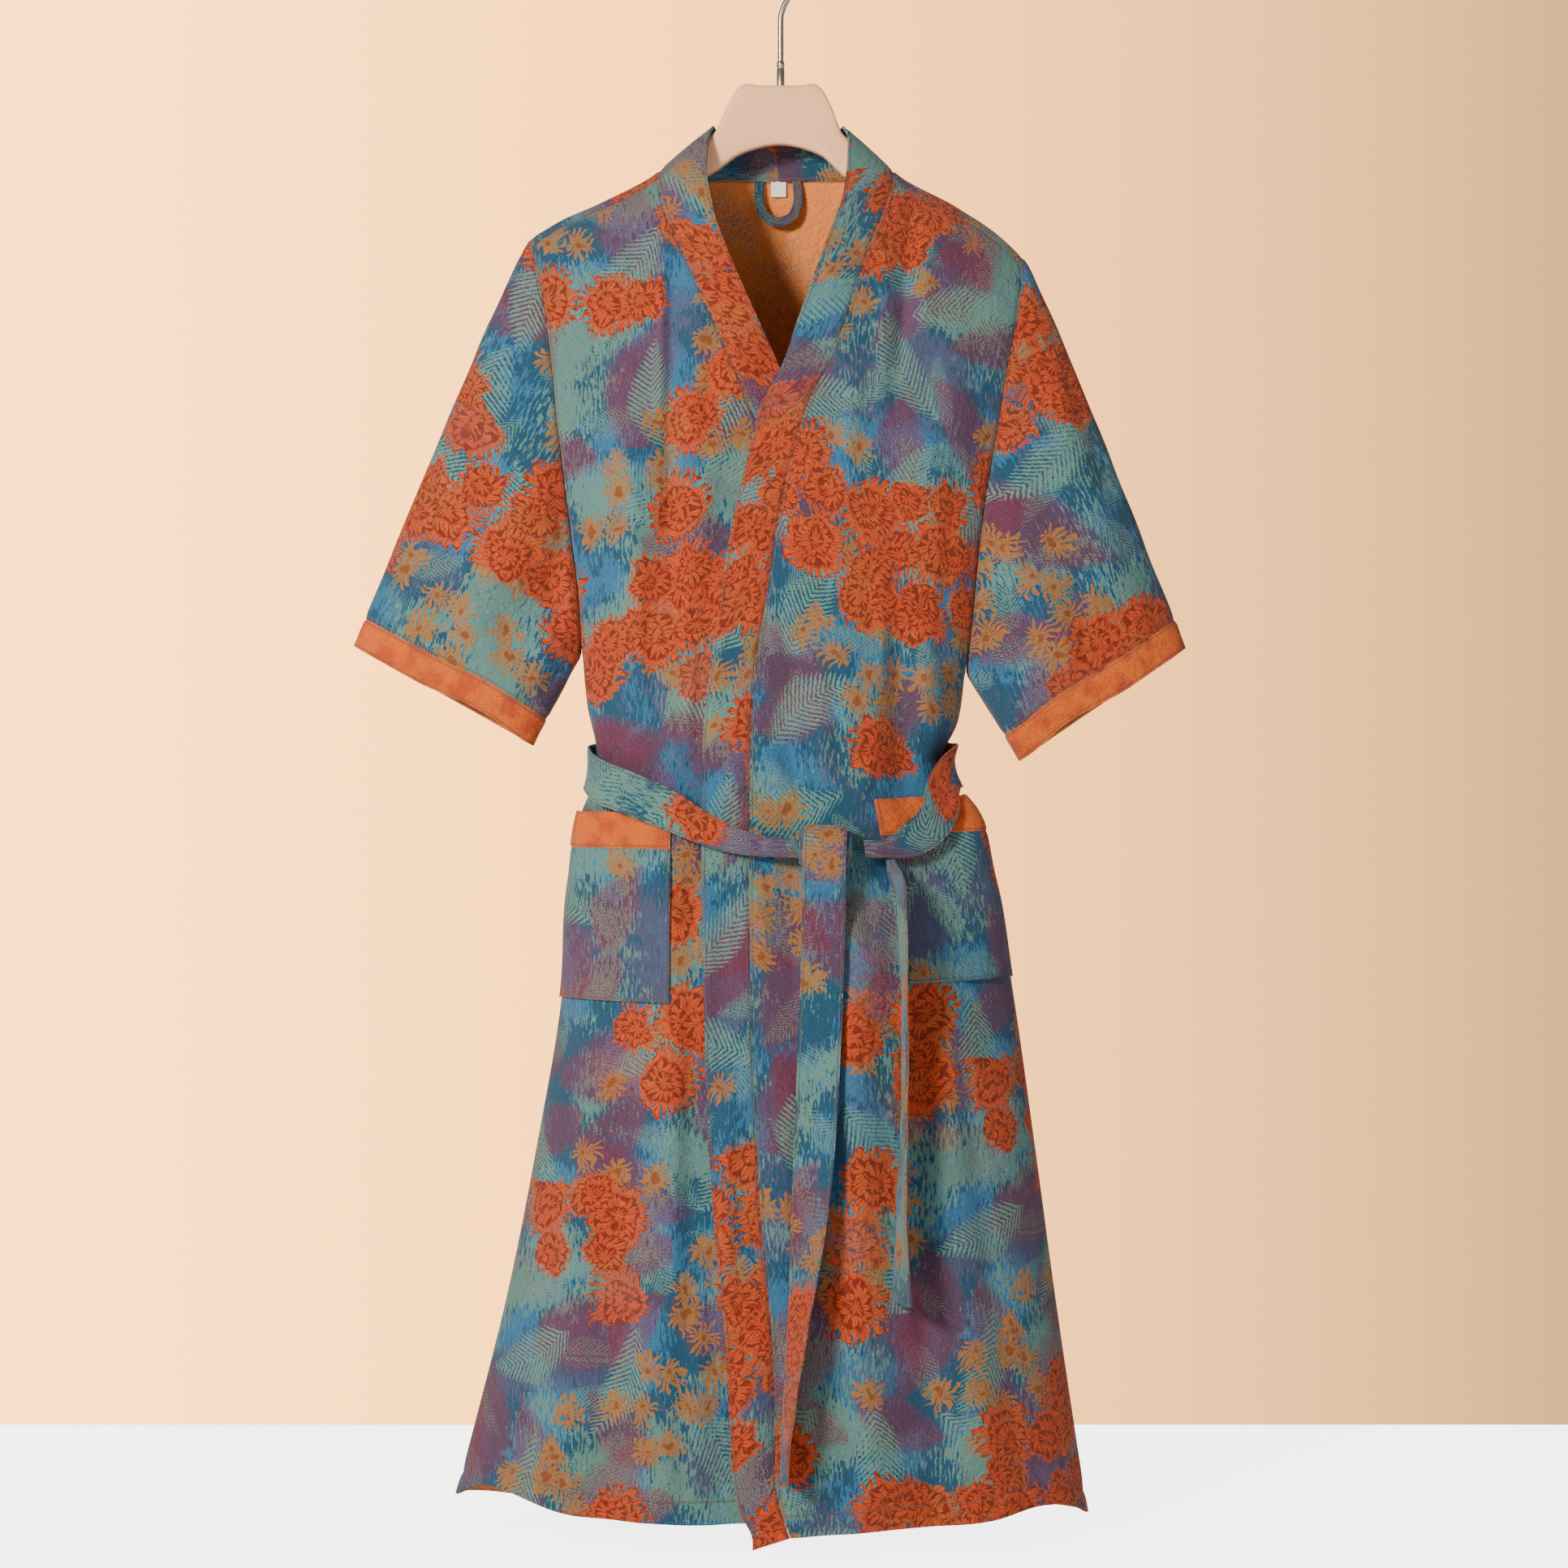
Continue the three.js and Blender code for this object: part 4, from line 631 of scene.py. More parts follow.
def wall(name, outer, inner, uv, looks, ring=False, **attributes):
    """A closed wall between two grids of points: both faces and the rims between them.

    uv holds the cloth's flat coordinates in millimetres. The outer face and the rims
    have the first look, and the inner face has the second one.
    """
    rows, columns = outer.shape[:2]
    kept = columns - 1 if ring else columns
    points = np.concatenate([outer[:, :kept].reshape(-1, 3), inner[:, :kept].reshape(-1, 3)])
    number = np.arange(rows * kept).reshape(rows, kept)
    if ring:
        number = np.concatenate([number, number[:, :1]], 1)
    place = np.arange(rows * columns).reshape(rows, columns)
    beyond = rows * kept

    def quads(grid, far=0):
        return np.stack([grid[:-1, :-1], grid[1:, :-1], grid[1:, 1:], grid[:-1, 1:]], -1).reshape(-1, 4) + far

    def rim(near, flip):
        both = np.stack([near[:-1], near[1:], near[1:] + beyond, near[:-1] + beyond], -1)
        return both[:, ::-1] if flip else both

    def rim_place(near, flip):
        both = np.stack([near[:-1], near[1:], near[1:], near[:-1]], -1)
        return both[:, ::-1] if flip else both

    sides = [(0, False), (-1, True)]
    faces = [quads(number), quads(number, beyond)[:, ::-1]]
    spots = [quads(place), quads(place)[:, ::-1]]
    for end, flip in sides:
        faces.append(rim(number[end], flip)[:, ::-1])
        spots.append(rim_place(place[end], flip)[:, ::-1])
        if not ring:
            faces.append(rim(number[:, end], not flip)[:, ::-1])
            spots.append(rim_place(place[:, end], not flip)[:, ::-1])
    face = np.concatenate(faces)
    spot = np.concatenate(spots)
    a, b, c, d = (points[face[:, n]] for n in range(4))
    volume = (np.cross(a, b) * c).sum() + (np.cross(a, c) * d).sum()
    if volume < 0:
        face = face[:, ::-1]
        spot = spot[:, ::-1]
    mesh = bpy.data.meshes.new(name)
    mesh.from_pydata(points * MM, [], face.tolist())
    layer = mesh.uv_layers.new(name="cloth")
    layer.uv.foreach_set("vector", (uv.reshape(-1, 2)[spot.ravel()] * MM).astype(np.float32).ravel())
    index = np.zeros(len(face), np.int32)
    index[len(faces[0]) : len(faces[0]) + len(faces[1])] = 1 if len(looks) > 1 else 0
    mesh.polygons.foreach_set("material_index", index)
    mesh.polygons.foreach_set("use_smooth", np.ones(len(face), bool))
    for key, values in attributes.items():
        values = np.broadcast_to(values, (rows, columns))[:, :kept]
        put_attribute(mesh, key, np.stack([values, values]))
    mesh.update()
    mesh.set_sharp_from_angle(angle=math.radians(55))
    for look in looks:
        mesh.materials.append(look)
    return mesh


def piece(name, mesh, cut=True):
    """An object for a node of the frame, riding on its body and standing for it."""
    obj = bpy.data.objects.new(name + "_cloth" if cut else name + "_finish", mesh)
    bpy.context.scene.collection.objects.link(obj)
    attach(obj, "root")
    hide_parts(name)
    return obj


def from_hex(text):
    """Linear colour from an sRGB hex value."""
    srgb = np.array([int(text[n : n + 2], 16) / 255 for n in (1, 3, 5)])
    linear = np.where(srgb <= 0.04045, srgb / 12.92, ((srgb + 0.055) / 1.055) ** 2.4)
    return tuple(float(v) for v in linear)


def colour_property(name, text, description):
    return FloatVectorProperty(
        name=name, subtype="COLOR", size=3, min=0, max=1, default=from_hex(text), description=description
    )


class ROBE_PG_cloth(bpy.types.PropertyGroup):
    """Sizes and colours of the printed gauze."""

    thread_mm: FloatProperty(
        name="Thread spacing",
        default=1.1,
        min=0.3,
        max=4,
        description="Distance between drawn threads, in millimetres",
    )
    crinkle_mm: FloatProperty(
        name="Crinkle", default=7.0, min=2, max=30, description="Size of the gauze's crinkles, in millimetres"
    )
    print_scale: FloatProperty(
        name="Print scale",
        default=1.0,
        min=0.3,
        max=3,
        description="Size of the print's motifs against the real one",
    )
    ground: colour_property("Ground", "#1a4561", "Blue ground of the print")
    ground_light: colour_property("Light ground", "#2a6189", "Paler parts of the ground")
    bloom: colour_property("Blossom", "#b3431d", "Petals of the large blossoms")
    bloom_line: colour_property("Blossom line", "#58180d", "Lines between the petals")
    daisy: colour_property("Small flowers", "#8f6030", "Small flowers of the print")
    fern: colour_property("Fern", "#588077", "Pale fern sprays")
    plume: colour_property("Plume", "#66203a", "Dark plumes")
    veil: colour_property("Veil", "#454563", "Hatched purple parts")
    reverse: colour_property("Reverse", "#e08748", "Inner side of the cloth")
    trim: colour_property("Trim", "#c25a1a", "Cuffs and pocket bands")


class ROBE_PG_hanger(bpy.types.PropertyGroup):
    """Colours of the hanger."""

    plastic: colour_property("Plastic", "#f2b88f", "Moulded hanger")
    steel: colour_property("Wire", "#b4b0aa", "Hook and ferrule")


def new_material(name):
    """An empty node material with its shader, as (material, tree, shader)."""
    material = bpy.data.materials.new(name)
    material.use_nodes = True
    tree = material.node_tree
    return material, tree, tree.nodes["Principled BSDF"]


def node(tree, kind, links=None, outs=None, **settings):
    """Adds a node: settings are its properties, links its inputs by name or number."""
    made = tree.nodes.new("ShaderNode" + kind)
    for key, value in settings.items():
        setattr(made, key, value)
    for key, value in (links or {}).items():
        socket = made.inputs[key]
        if isinstance(value, bpy.types.NodeSocket):
            tree.links.new(value, socket)
        else:
            socket.default_value = value
    return made.outputs[outs or 0]


def maths(tree, operation, *values, clamp=False):
    links = dict(enumerate(values))
    return node(tree, "Math", links, operation=operation, use_clamp=clamp)


def band_step(tree, value, low, high):
    """0 below low and 1 above high, with a smooth rise between."""
    return node(
        tree, "MapRange", {"Value": value, "From Min": low, "From Max": high}, interpolation_type="SMOOTHSTEP"
    )


def painted(tree, under, over, share):
    """One colour over another by a share."""
    made = tree.nodes.new("ShaderNodeMix")
    made.data_type = "RGBA"
    for number, value in ((0, share), (6, under), (7, over)):
        if isinstance(value, bpy.types.NodeSocket):
            tree.links.new(value, made.inputs[number])
        elif number == 0:
            made.inputs[0].default_value = value
        else:
            made.inputs[number].default_value = (*value[:3], 1)
    return made.outputs[2]


def cell(tree, cloth, size, shift, randomness):
    """Each place in its nearest cell: (radius in mm, angle, along and across, middle).

    The middle is in the cloth's coordinates, so a mask read there keeps whole motifs.
    """
    moved = node(tree, "Mapping", {"Vector": cloth, "Location": (*shift, 0)})
    cells = tree.nodes.new("ShaderNodeTexVoronoi")
    cells.voronoi_dimensions = "2D"
    cells.inputs["Scale"].default_value = 1000 / size
    cells.inputs["Randomness"].default_value = randomness
    tree.links.new(moved, cells.inputs["Vector"])
    local = node(tree, "VectorMath", {0: moved, 1: cells.outputs["Position"]}, operation="SUBTRACT")
    local = node(tree, "VectorMath", {0: local, "Scale": 1000.0}, operation="SCALE")
    chance = node(tree, "SeparateXYZ", {0: cells.outputs["Color"]}).node
    turned = node(
        tree,
        "VectorRotate",
        {"Vector": local, "Angle": maths(tree, "MULTIPLY", chance.outputs[0], 2 * math.pi)},
        rotation_type="Z_AXIS",
    )
    axes = node(tree, "SeparateXYZ", {0: turned}).node
    radius = node(tree, "VectorMath", {0: turned}, "Value", operation="LENGTH")
    angle = maths(tree, "ARCTAN2", axes.outputs[1], axes.outputs[0])
    middle = node(tree, "VectorMath", {0: cells.outputs["Position"], 1: (*shift, 0)}, operation="SUBTRACT")
    return radius, angle, axes.outputs, middle


def blossom(tree, cloth, size, shift, rings):
    """A round flower of small pointed petals in each cell: (inside, line, shade, middle).

    Petals lie in rings, six more in each. In a ring the petal's tip is a cosine over the
    angle, and the flower's own edge is the same wave over the last ring.
    """
    radius, angle, _, middle = cell(tree, cloth, size, shift, 0.55)
    t = maths(tree, "MULTIPLY", maths(tree, "DIVIDE", radius, 0.54 * size), rings)
    ring = maths(tree, "FLOOR", t)
    part = maths(tree, "FRACT", t)
    count = maths(tree, "MULTIPLY_ADD", ring, 6, 9)
    half_turns = maths(tree, "MULTIPLY", angle, maths(tree, "MULTIPLY", count, 0.5))
    arc = maths(tree, "ABSOLUTE", maths(tree, "COSINE", half_turns))
    tip = maths(tree, "MULTIPLY_ADD", arc, 0.85, 0.16)
    line = band_step(tree, maths(tree, "SUBTRACT", part, tip), -0.12, -0.02)
    line = maths(tree, "MAXIMUM", line, band_step(tree, arc, 0.26, 0.1))
    vein = maths(tree, "MULTIPLY", band_step(tree, arc, 0.975, 0.997), 0.75)
    line = maths(tree, "MAXIMUM", line, vein)
    last = maths(tree, "MULTIPLY_ADD", arc, 0.38, 0.62)
    inside = band_step(tree, maths(tree, "DIVIDE", maths(tree, "DIVIDE", t, rings), last), 1.0, 0.96)
    return inside, line, part, middle


def small_flower(tree, cloth, size, shift, petals):
    """A daisy in each cell: (petals, eye, middle). A petal's edge is a cosine wave."""
    radius, angle, _, middle = cell(tree, cloth, size, shift, 0.7)
    arc = maths(tree, "ABSOLUTE", maths(tree, "COSINE", maths(tree, "MULTIPLY", angle, petals / 2)))
    reach = maths(tree, "MULTIPLY_ADD", maths(tree, "POWER", arc, 1.1), 0.4 * size, 0.1 * size)
    inside = band_step(tree, maths(tree, "SUBTRACT", reach, radius), -0.4, 0.5)
    eye = band_step(tree, radius, 0.13 * size, 0.1 * size)
    return inside, eye, middle


def spray(tree, cloth, size, shift, pitch, lean, wide):
    """A frond in each cell: (leaflets, middle).

    Leaflets slant off a curved midrib inside a leaf-shaped outline with a frayed edge.
    """
    _, _, axes, middle = cell(tree, cloth, size, shift, 0.5)
    along = maths(tree, "DIVIDE", axes[0], 0.5 * size)
    bow = maths(tree, "MULTIPLY", maths(tree, "POWER", along, 2), 0.1 * size)
    off = maths(tree, "ABSOLUTE", maths(tree, "ADD", axes[1], bow))
    bulge = maths(tree, "SUBTRACT", 1, maths(tree, "POWER", maths(tree, "ABSOLUTE", along), 1.6))
    width = maths(tree, "MULTIPLY", bulge, wide * size)
    phase = maths(tree, "SUBTRACT", axes[0], maths(tree, "MULTIPLY", off, lean))
    leaflet = maths(tree, "SINE", maths(tree, "MULTIPLY", phase, 2 * math.pi / pitch))
    frayed = maths(tree, "MULTIPLY_ADD", leaflet, 0.4 * wide * size, width)
    inside = band_step(tree, maths(tree, "SUBTRACT", frayed, off), -0.8, 1.2)
    comb = band_step(tree, leaflet, -0.6, 0.25)
    return maths(tree, "MULTIPLY", inside, comb), middle


def drift(tree, cloth, size, shift, detail=2.0):
    """Smooth noise over the cloth whose patches are about size millimetres across."""
    moved = node(tree, "Mapping", {"Vector": cloth, "Location": (*shift, 0)})
    return node(
        tree,
        "TexNoise",
        {"Vector": moved, "Scale": 1000 / size, "Detail": detail, "Roughness": 0.5},
        "Fac",
        noise_dimensions="2D",
    )


def cloth_coordinates(tree, settings):
    """The cloth's own map in metres, enlarged with the print, and ruffled at its edges."""
    flat = node(tree, "UVMap", uv_map="cloth")
    flat = node(tree, "VectorMath", {0: flat, "Scale": 1 / settings.print_scale}, operation="SCALE")
    return stirred(tree, flat, 320, 0.0022)


def stirred(tree, place, scale, amount):
    """A place moved about by noise of so many waves a metre, by up to an amount in metres."""
    noise = tree.nodes.new("ShaderNodeTexNoise")
    noise.noise_dimensions = "2D"
    noise.inputs["Scale"].default_value = scale
    noise.inputs["Detail"].default_value = 1
    tree.links.new(place, noise.inputs["Vector"])
    middle = node(tree, "VectorMath", {0: noise.outputs["Color"], 1: (0.5, 0.5, 0.5)}, operation="SUBTRACT")
    shaken = node(tree, "VectorMath", {0: middle, "Scale": amount}, operation="SCALE")
    return node(tree, "VectorMath", {0: place, 1: shaken}, operation="ADD")


def weave(tree, settings):
    """Height of woven threads with slubs, over the gauze's soft crinkles.

    The real thread spacing of 0.4 mm is drawn coarser, so that it shows.
    """
    flat = node(tree, "UVMap", uv_map="cloth")
    bent = node(tree, "SeparateXYZ", {0: flat}).node
    wave = 2000 * math.pi / settings.thread_mm
    warp = maths(tree, "SINE", maths(tree, "MULTIPLY", bent.outputs[0], wave))
    weft = maths(tree, "SINE", maths(tree, "MULTIPLY", bent.outputs[1], wave))
    threads = maths(tree, "MULTIPLY", warp, weft)
    stretched = node(tree, "Mapping", {"Vector": flat, "Scale": (0.35, 1.6, 1)})
    slub = node(
        tree, "TexNoise", {"Vector": stretched, "Scale": 900.0, "Detail": 2.0}, "Fac", noise_dimensions="2D"
    )
    crinkle = node(
        tree,
        "TexNoise",
        {"Vector": flat, "Scale": 1000 / settings.crinkle_mm, "Detail": 2.5, "Roughness": 0.55},
        "Fac",
        noise_dimensions="2D",
    )
    fine = maths(tree, "MULTIPLY_ADD", threads, 0.1, maths(tree, "MULTIPLY", slub, 0.45))
    return maths(tree, "MULTIPLY_ADD", crinkle, 2.0, fine), slub


def sewn(tree):
    """Share of a sewing line at a place: beside a border, and along a turned hem."""
    border = node(tree, "Attribute", None, "Fac", attribute_name="border")
    hem = node(tree, "Attribute", None, "Fac", attribute_name="hem")
    lines = []
    for distance, place in ((border, 2.2), (hem, HEM_FOLD)):
        away = maths(tree, "ABSOLUTE", maths(tree, "SUBTRACT", distance, place))
        lines.append(band_step(tree, away, 0.75, 0.35))
    return maths(tree, "MAXIMUM", *lines)


def finish_gauze(tree, shader, settings, colour):
    """Puts colour, weave, crinkles and sewing on a matte cotton shader."""
    height, slub = weave(tree, settings)
    line = sewn(tree)
    value = maths(tree, "MULTIPLY_ADD", slub, 0.95, 0.53)
    mottled = node(tree, "HueSaturation", {"Color": colour, "Value": value})
    stitched = painted(tree, mottled, from_hex("#5d5048"), maths(tree, "MULTIPLY", line, 0.6))
    lowered = maths(tree, "MULTIPLY_ADD", line, -1.0, height)
    bump = node(tree, "Bump", {"Height": lowered, "Distance": 0.0013, "Strength": 0.75})
    tree.links.new(stitched, shader.inputs["Base Color"])
    tree.links.new(bump, shader.inputs["Normal"])
    shader.inputs["Roughness"].default_value = 0.9
    shader.inputs["Specular IOR Level"].default_value = 0.25
    shader.inputs["Sheen Weight"].default_value = 0.12
    shader.inputs["Sheen Roughness"].default_value = 0.5


def printed_gauze(settings):
    """Cotton double gauze with a jacquard print: matte, soft, with crinkled threads.

    The print is a botanical one of round blossoms, small flowers, fern sprays and
    plumes on a blue ground, laid out by cells and drifts of noise. Upright strokes
    fray the edges of its broad patches, as the change of threads does.
    """
    material, tree, shader = new_material("jacquard_gauze_face")
    cloth = cloth_coordinates(tree, settings)
    warmth = node(tree, "Attribute", None, "Fac", attribute_name="warmth")

    def over(colour, share, paint, strength=1.0):
        return painted(tree, colour, paint, maths(tree, "MULTIPLY", share, strength))

    def kept(share, middle, size, shift, low, warm=0.0):
        there = drift(tree, middle, size, shift, 1.0)
        if warm:
            there = maths(tree, "MULTIPLY_ADD", warmth, warm, there)
        return maths(tree, "MULTIPLY", share, band_step(tree, there, low, low + 0.012))

    strokes = node(tree, "Mapping", {"Vector": cloth, "Scale": (1.8, 0.32, 1)})
    strokes = drift(tree, strokes, 3.4, (0, 0), 1.0)
    leafy = stirred(tree, cloth, 58, 0.016)

    def drawn(size, shift, low):
        there = maths(tree, "MULTIPLY_ADD", strokes, 0.5, drift(tree, cloth, size, shift))
        return band_step(tree, there, low + 0.25, low + 0.275)

    colour = painted(tree, settings.ground, settings.ground_light, drawn(60, (5, 3), 0.52))
    colour = over(colour, drawn(110, (7.1, 2.2), 0.6), settings.veil, 0.75)
    colour = over(colour, drawn(90, (3.7, 8.2), 0.56), settings.fern, 0.75)
    leaf, middle = spray(tree, cloth, 60, (3.3, 0.4), 3.6, 1.1, 0.17)
    colour = over(colour, kept(leaf, middle, 120, (2, 2), 0.44), settings.fern, 0.7)
    for size, shift, low in ((118, (1.3, 4.2), 0.45), (84, (5.3, 0.2), 0.5)):
        plume, middle = spray(tree, cloth, size, shift, 4.0, 1.9, 0.21)
        colour = over(colour, kept(plume, middle, 150, (2.7, 1.9), low), settings.plume, 0.9)
    frond, middle = spray(tree, cloth, 92, (0.2, 6.4), 4.8, 0.9, 0.18)
    colour = over(colour, kept(frond, middle, 140, (8.7, 3.9), 0.5), settings.fern, 0.95)
    flower, eye, middle = small_flower(tree, leafy, 31, (4.4, 2.6), 13)
    flower = kept(flower, middle, 130, (9.2, 5.5), 0.56)
    colour = over(colour, flower, settings.daisy, 0.94)
    colour = over(colour, maths(tree, "MULTIPLY", eye, flower), settings.bloom_line, 0.55)
    for size, shift, rings, low in ((60, (0.6, 0.3), 3.4, 0.545), (44, (6.1, 8.3), 2.8, 0.575)):
        inside, line, shade, middle = blossom(tree, leafy, size, shift, rings)
        inside = kept(inside, middle, 170, (0.31, 0.77), low, 0.16)
        petal = painted(tree, settings.bloom_line, settings.bloom, band_step(tree, shade, -0.5, 0.35))
        glow = band_step(tree, drift(tree, cloth, 34, (1, 6)), 0.45, 0.7)
        petal = over(petal, glow, settings.daisy, 0.3)
        petal = over(petal, line, settings.bloom_line, 0.85)
        colour = painted(tree, colour, petal, inside)
    finish_gauze(tree, shader, settings, colour)
    return material


def gauze_reverse(settings):
    """The inner side of the jacquard: rust threads with the ground's blue showing through."""
    material, tree, shader = new_material("jacquard_gauze_reverse")
    cloth = cloth_coordinates(tree, settings)
    through = band_step(tree, drift(tree, cloth, 70, (3, 9), 3.0), 0.42, 0.7)
    mixed = maths(tree, "MULTIPLY", through, band_step(tree, drift(tree, cloth, 2.2, (1, 1), 1.0), 0.4, 0.6))
    colour = painted(tree, settings.reverse, from_hex("#4d6f74"), maths(tree, "MULTIPLY", mixed, 0.75))
    finish_gauze(tree, shader, settings, colour)
    return material


def trim_gauze(settings):
    """The orange part of the same cloth, cut for cuffs and pocket bands."""
    material, tree, shader = new_material("jacquard_gauze_trim")
    cloth = cloth_coordinates(tree, settings)
    plume, _ = spray(tree, cloth, 60, (2.2, 2.2), 3.0, 1.4, 0.16)
    warm = band_step(tree, drift(tree, cloth, 90, (1.5, 6.6)), 0.5, 0.6)
    rust = band_step(tree, drift(tree, cloth, 18, (4, 1), 3.0), 0.4, 0.7)
    colour = painted(tree, settings.trim, from_hex("#ab431d"), rust)
    plume = maths(tree, "MULTIPLY", maths(tree, "MULTIPLY", plume, warm), 0.5)
    colour = painted(tree, colour, settings.plume, plume)
    finish_gauze(tree, shader, settings, colour)
    return material


def satin_tape():
    """A woven polyester tape: white, with a slight gloss across its fine threads, and painted sheen and shade
    in greyer and brighter stripes along its ribs.
    """
    material, tree, shader = new_material("white_satin_tape")
    flat = node(tree, "UVMap", uv_map="cloth")
    ribs = node(tree, "TexWave", {"Vector": flat, "Scale": 260.0, "Distortion": 0.4}, "Fac")
    bump = node(tree, "Bump", {"Height": ribs, "Distance": 0.0001, "Strength": 0.3})
    # painted sheen and shade: the rib wave lays greyer and brighter white stripes into the tape's colour
    shade = painted(tree, from_hex("#e4e0da"), from_hex("#f7f5f2"), ribs)
    tree.links.new(shade, shader.inputs["Base Color"])
    tree.links.new(bump, shader.inputs["Normal"])
    shader.inputs["Roughness"].default_value = 0.5
    return material


def moulded_plastic(settings):
    """Satin moulded polypropylene: pale, faintly mottled, with a soft grained skin."""
    material, tree, shader = new_material("satin_moulded_plastic")
    place = node(tree, "TexCoord", None, "Object")
    grain = node(tree, "TexNoise", {"Vector": place, "Scale": 900.0, "Detail": 3.0}, "Fac")
    cloud = node(tree, "TexNoise", {"Vector": place, "Scale": 30.0, "Detail": 2.0}, "Fac")
    pale = tuple(min(1.0, v * 1.06) for v in settings.plastic)
    colour = painted(tree, settings.plastic, pale, cloud)
    bump = node(tree, "Bump", {"Height": grain, "Distance": 0.0002, "Strength": 0.25})
    tree.links.new(colour, shader.inputs["Base Color"])
    tree.links.new(bump, shader.inputs["Normal"])
    shader.inputs["Roughness"].default_value = 0.42
    return material


def drawn_wire(settings):
    """Drawn and polished steel wire: bright, with faint lines from the die."""
    material, tree, shader = new_material("polished_steel_wire")
    place = node(tree, "TexCoord", None, "Object")
    drawn = node(tree, "Mapping", {"Vector": place, "Scale": (40.0, 40.0, 1.0)})
    lines = node(tree, "TexNoise", {"Vector": drawn, "Scale": 60.0, "Detail": 2.0}, "Fac")
    rough = node(tree, "MapRange", {"Value": lines, "To Min": 0.22, "To Max": 0.38})
    tree.links.new(rough, shader.inputs["Roughness"])
    shader.inputs["Base Color"].default_value = (*settings.steel, 1)
    shader.inputs["Metallic"].default_value = 1
    return material


def look(name):
    """A material by name, made the first time it is asked for."""
    made = bpy.data.materials.get(name)
    if made:
        return made
    scene = bpy.context.scene
    makers = {
        "jacquard_gauze_face": lambda: printed_gauze(scene.robe_cloth),
        "jacquard_gauze_reverse": lambda: gauze_reverse(scene.robe_cloth),
        "jacquard_gauze_trim": lambda: trim_gauze(scene.robe_cloth),
        "white_satin_tape": satin_tape,
        "satin_moulded_plastic": lambda: moulded_plastic(scene.robe_hanger),
        "polished_steel_wire": lambda: drawn_wire(scene.robe_hanger),
    }
    return makers[name]()


def printed():
    return [look("jacquard_gauze_face"), look("jacquard_gauze_reverse")]


# Shares down the sides for the rows of the body, and across for its columns
SEAM_ROW = SHOULDER_SEAM_DROP / side_length("left")
FRONT_ROWS = np.concatenate(
    [np.linspace(SEAM_ROW, UNDERARM_SHARE, 84)[:-1], np.linspace(UNDERARM_SHARE, 1, 156)]
)
BACK_ROWS = np.concatenate([np.linspace(-SEAM_ROW, SEAM_ROW, 17)[:-1], FRONT_ROWS])
FRONT_COLUMNS = 1 - (1 - np.linspace(0, 1, 80)) ** 1.7
BACK_OUTER = 1 - (1 - np.linspace(0, 1, 46)) ** 1.7
BACK_COLUMNS = np.concatenate(
    [
        NECK_SHARE[0] * (1 - BACK_OUTER[::-1]),
        np.linspace(*NECK_SHARE, 29)[1:-1],
        1 - NECK_SHARE[0] * (1 - BACK_OUTER),
    ]
)


def hem_relief(below, x):
    """How far a turned hem stands out: its second layer, puckered by the sewing."""
    inside = smooth((HEM_FOLD + 1 - below) / 2)
    pucker = 0.85 * np.sin(x / 5.1 + 2 * np.sin(x / 23)) * np.exp(-(((below - HEM_FOLD) / 9) ** 2))
    return 0.6 * inside + pucker - valley(below - HEM_FOLD, 0.7, 1.8)


def body_panel(name, points, border, uv):
    """A panel on the body's surface, sunk at its seams and thickened at its hem."""
    into = into_body(points)
    below = run(points[::-1], 0)[::-1]
    out = hem_relief(below, points[..., 0]) - valley(border)
    outer = points - into * out[..., None]
    hem_wall = 0.9 * smooth((HEM_FOLD + 1 - below) / 2)
    inner = outer + into * (PANEL_WALL + hem_wall)[..., None]
    return wall(name, outer, inner, uv, printed(), border=border, hem=below, warmth=0.0)


def build_fronts():
    for side, shift in (("left", (410.0, 95.0)), ("right", (0.0, 0.0))):
        points = front_point(side, FRONT_COLUMNS[None, :], FRONT_ROWS[:, None])
        across = run(points, 1)
        away = -1 if side == "left" else 1
        u = points[:, :1, 0] + away * across
        v = points[:1, :, 2] - run(points, 0)
        uv = np.stack([u + shift[0], v + shift[1]], -1)
        border = np.minimum(across, across[:, -1:] - across)
        border = np.minimum(border, run(points, 0))
        mesh = body_panel(f"front_{side}", points, border, uv)
        piece(f"front_{side}", mesh)


def build_back():
    points = back_point(BACK_COLUMNS[None, :], BACK_ROWS[:, None])
    across = run(points, 1)
    middle = len(BACK_COLUMNS) // 2
    u = points[:, middle : middle + 1, 0] - (across - across[:, middle : middle + 1])
    down = run(points, 0)
    v = points[:1, :, 2] - down
    uv = np.stack([u + 900, v + 40], -1)
    border = np.minimum(np.minimum(across, across[:, -1:] - across), down)
    mesh = body_panel("back_panel", points, border, uv)
    piece("back_panel", mesh)


def band_points(side, columns):
    """A front band from the hem up to the neck point, and on to the middle of the nape."""
    down = FRONT_ROWS[::-1][::2]
    seam = front_point(side, 0.0, down)
    free_z = seam[:, 2] + at(BAND_LIFT, "z", "lift", seam[:, 2])
    free_x = at(BAND[side], "z", "free", free_z)
    x = lerp(seam[:, :1], free_x[:, None], columns[None, :])
    z = lerp(seam[:, 2:3], free_z[:, None], columns[None, :])
    up = on_front(side, x, z)
    up[..., 1] -= BAND_RISE * smooth(columns / 0.08)
    half = NECK_TOP["share"] <= 0.5 if side == "left" else NECK_TOP["share"] >= 0.5
    order = slice(None) if side == "left" else slice(None, None, -1)
    share, x, y, z = (NECK_TOP[key][half][order] for key in ("share", "x", "y", "z"))
    lap = np.array([0, 0, NAPE_LAP]) * smooth(np.arange(len(share)))[:, None]
    start = back_point(share, -SEAM_ROW) - lap
    free = np.stack([x, y, z], -1)
    nape = lerp(start[:, None], free[:, None], columns[None, :, None])
    return refined(np.concatenate([up, nape]), 300)


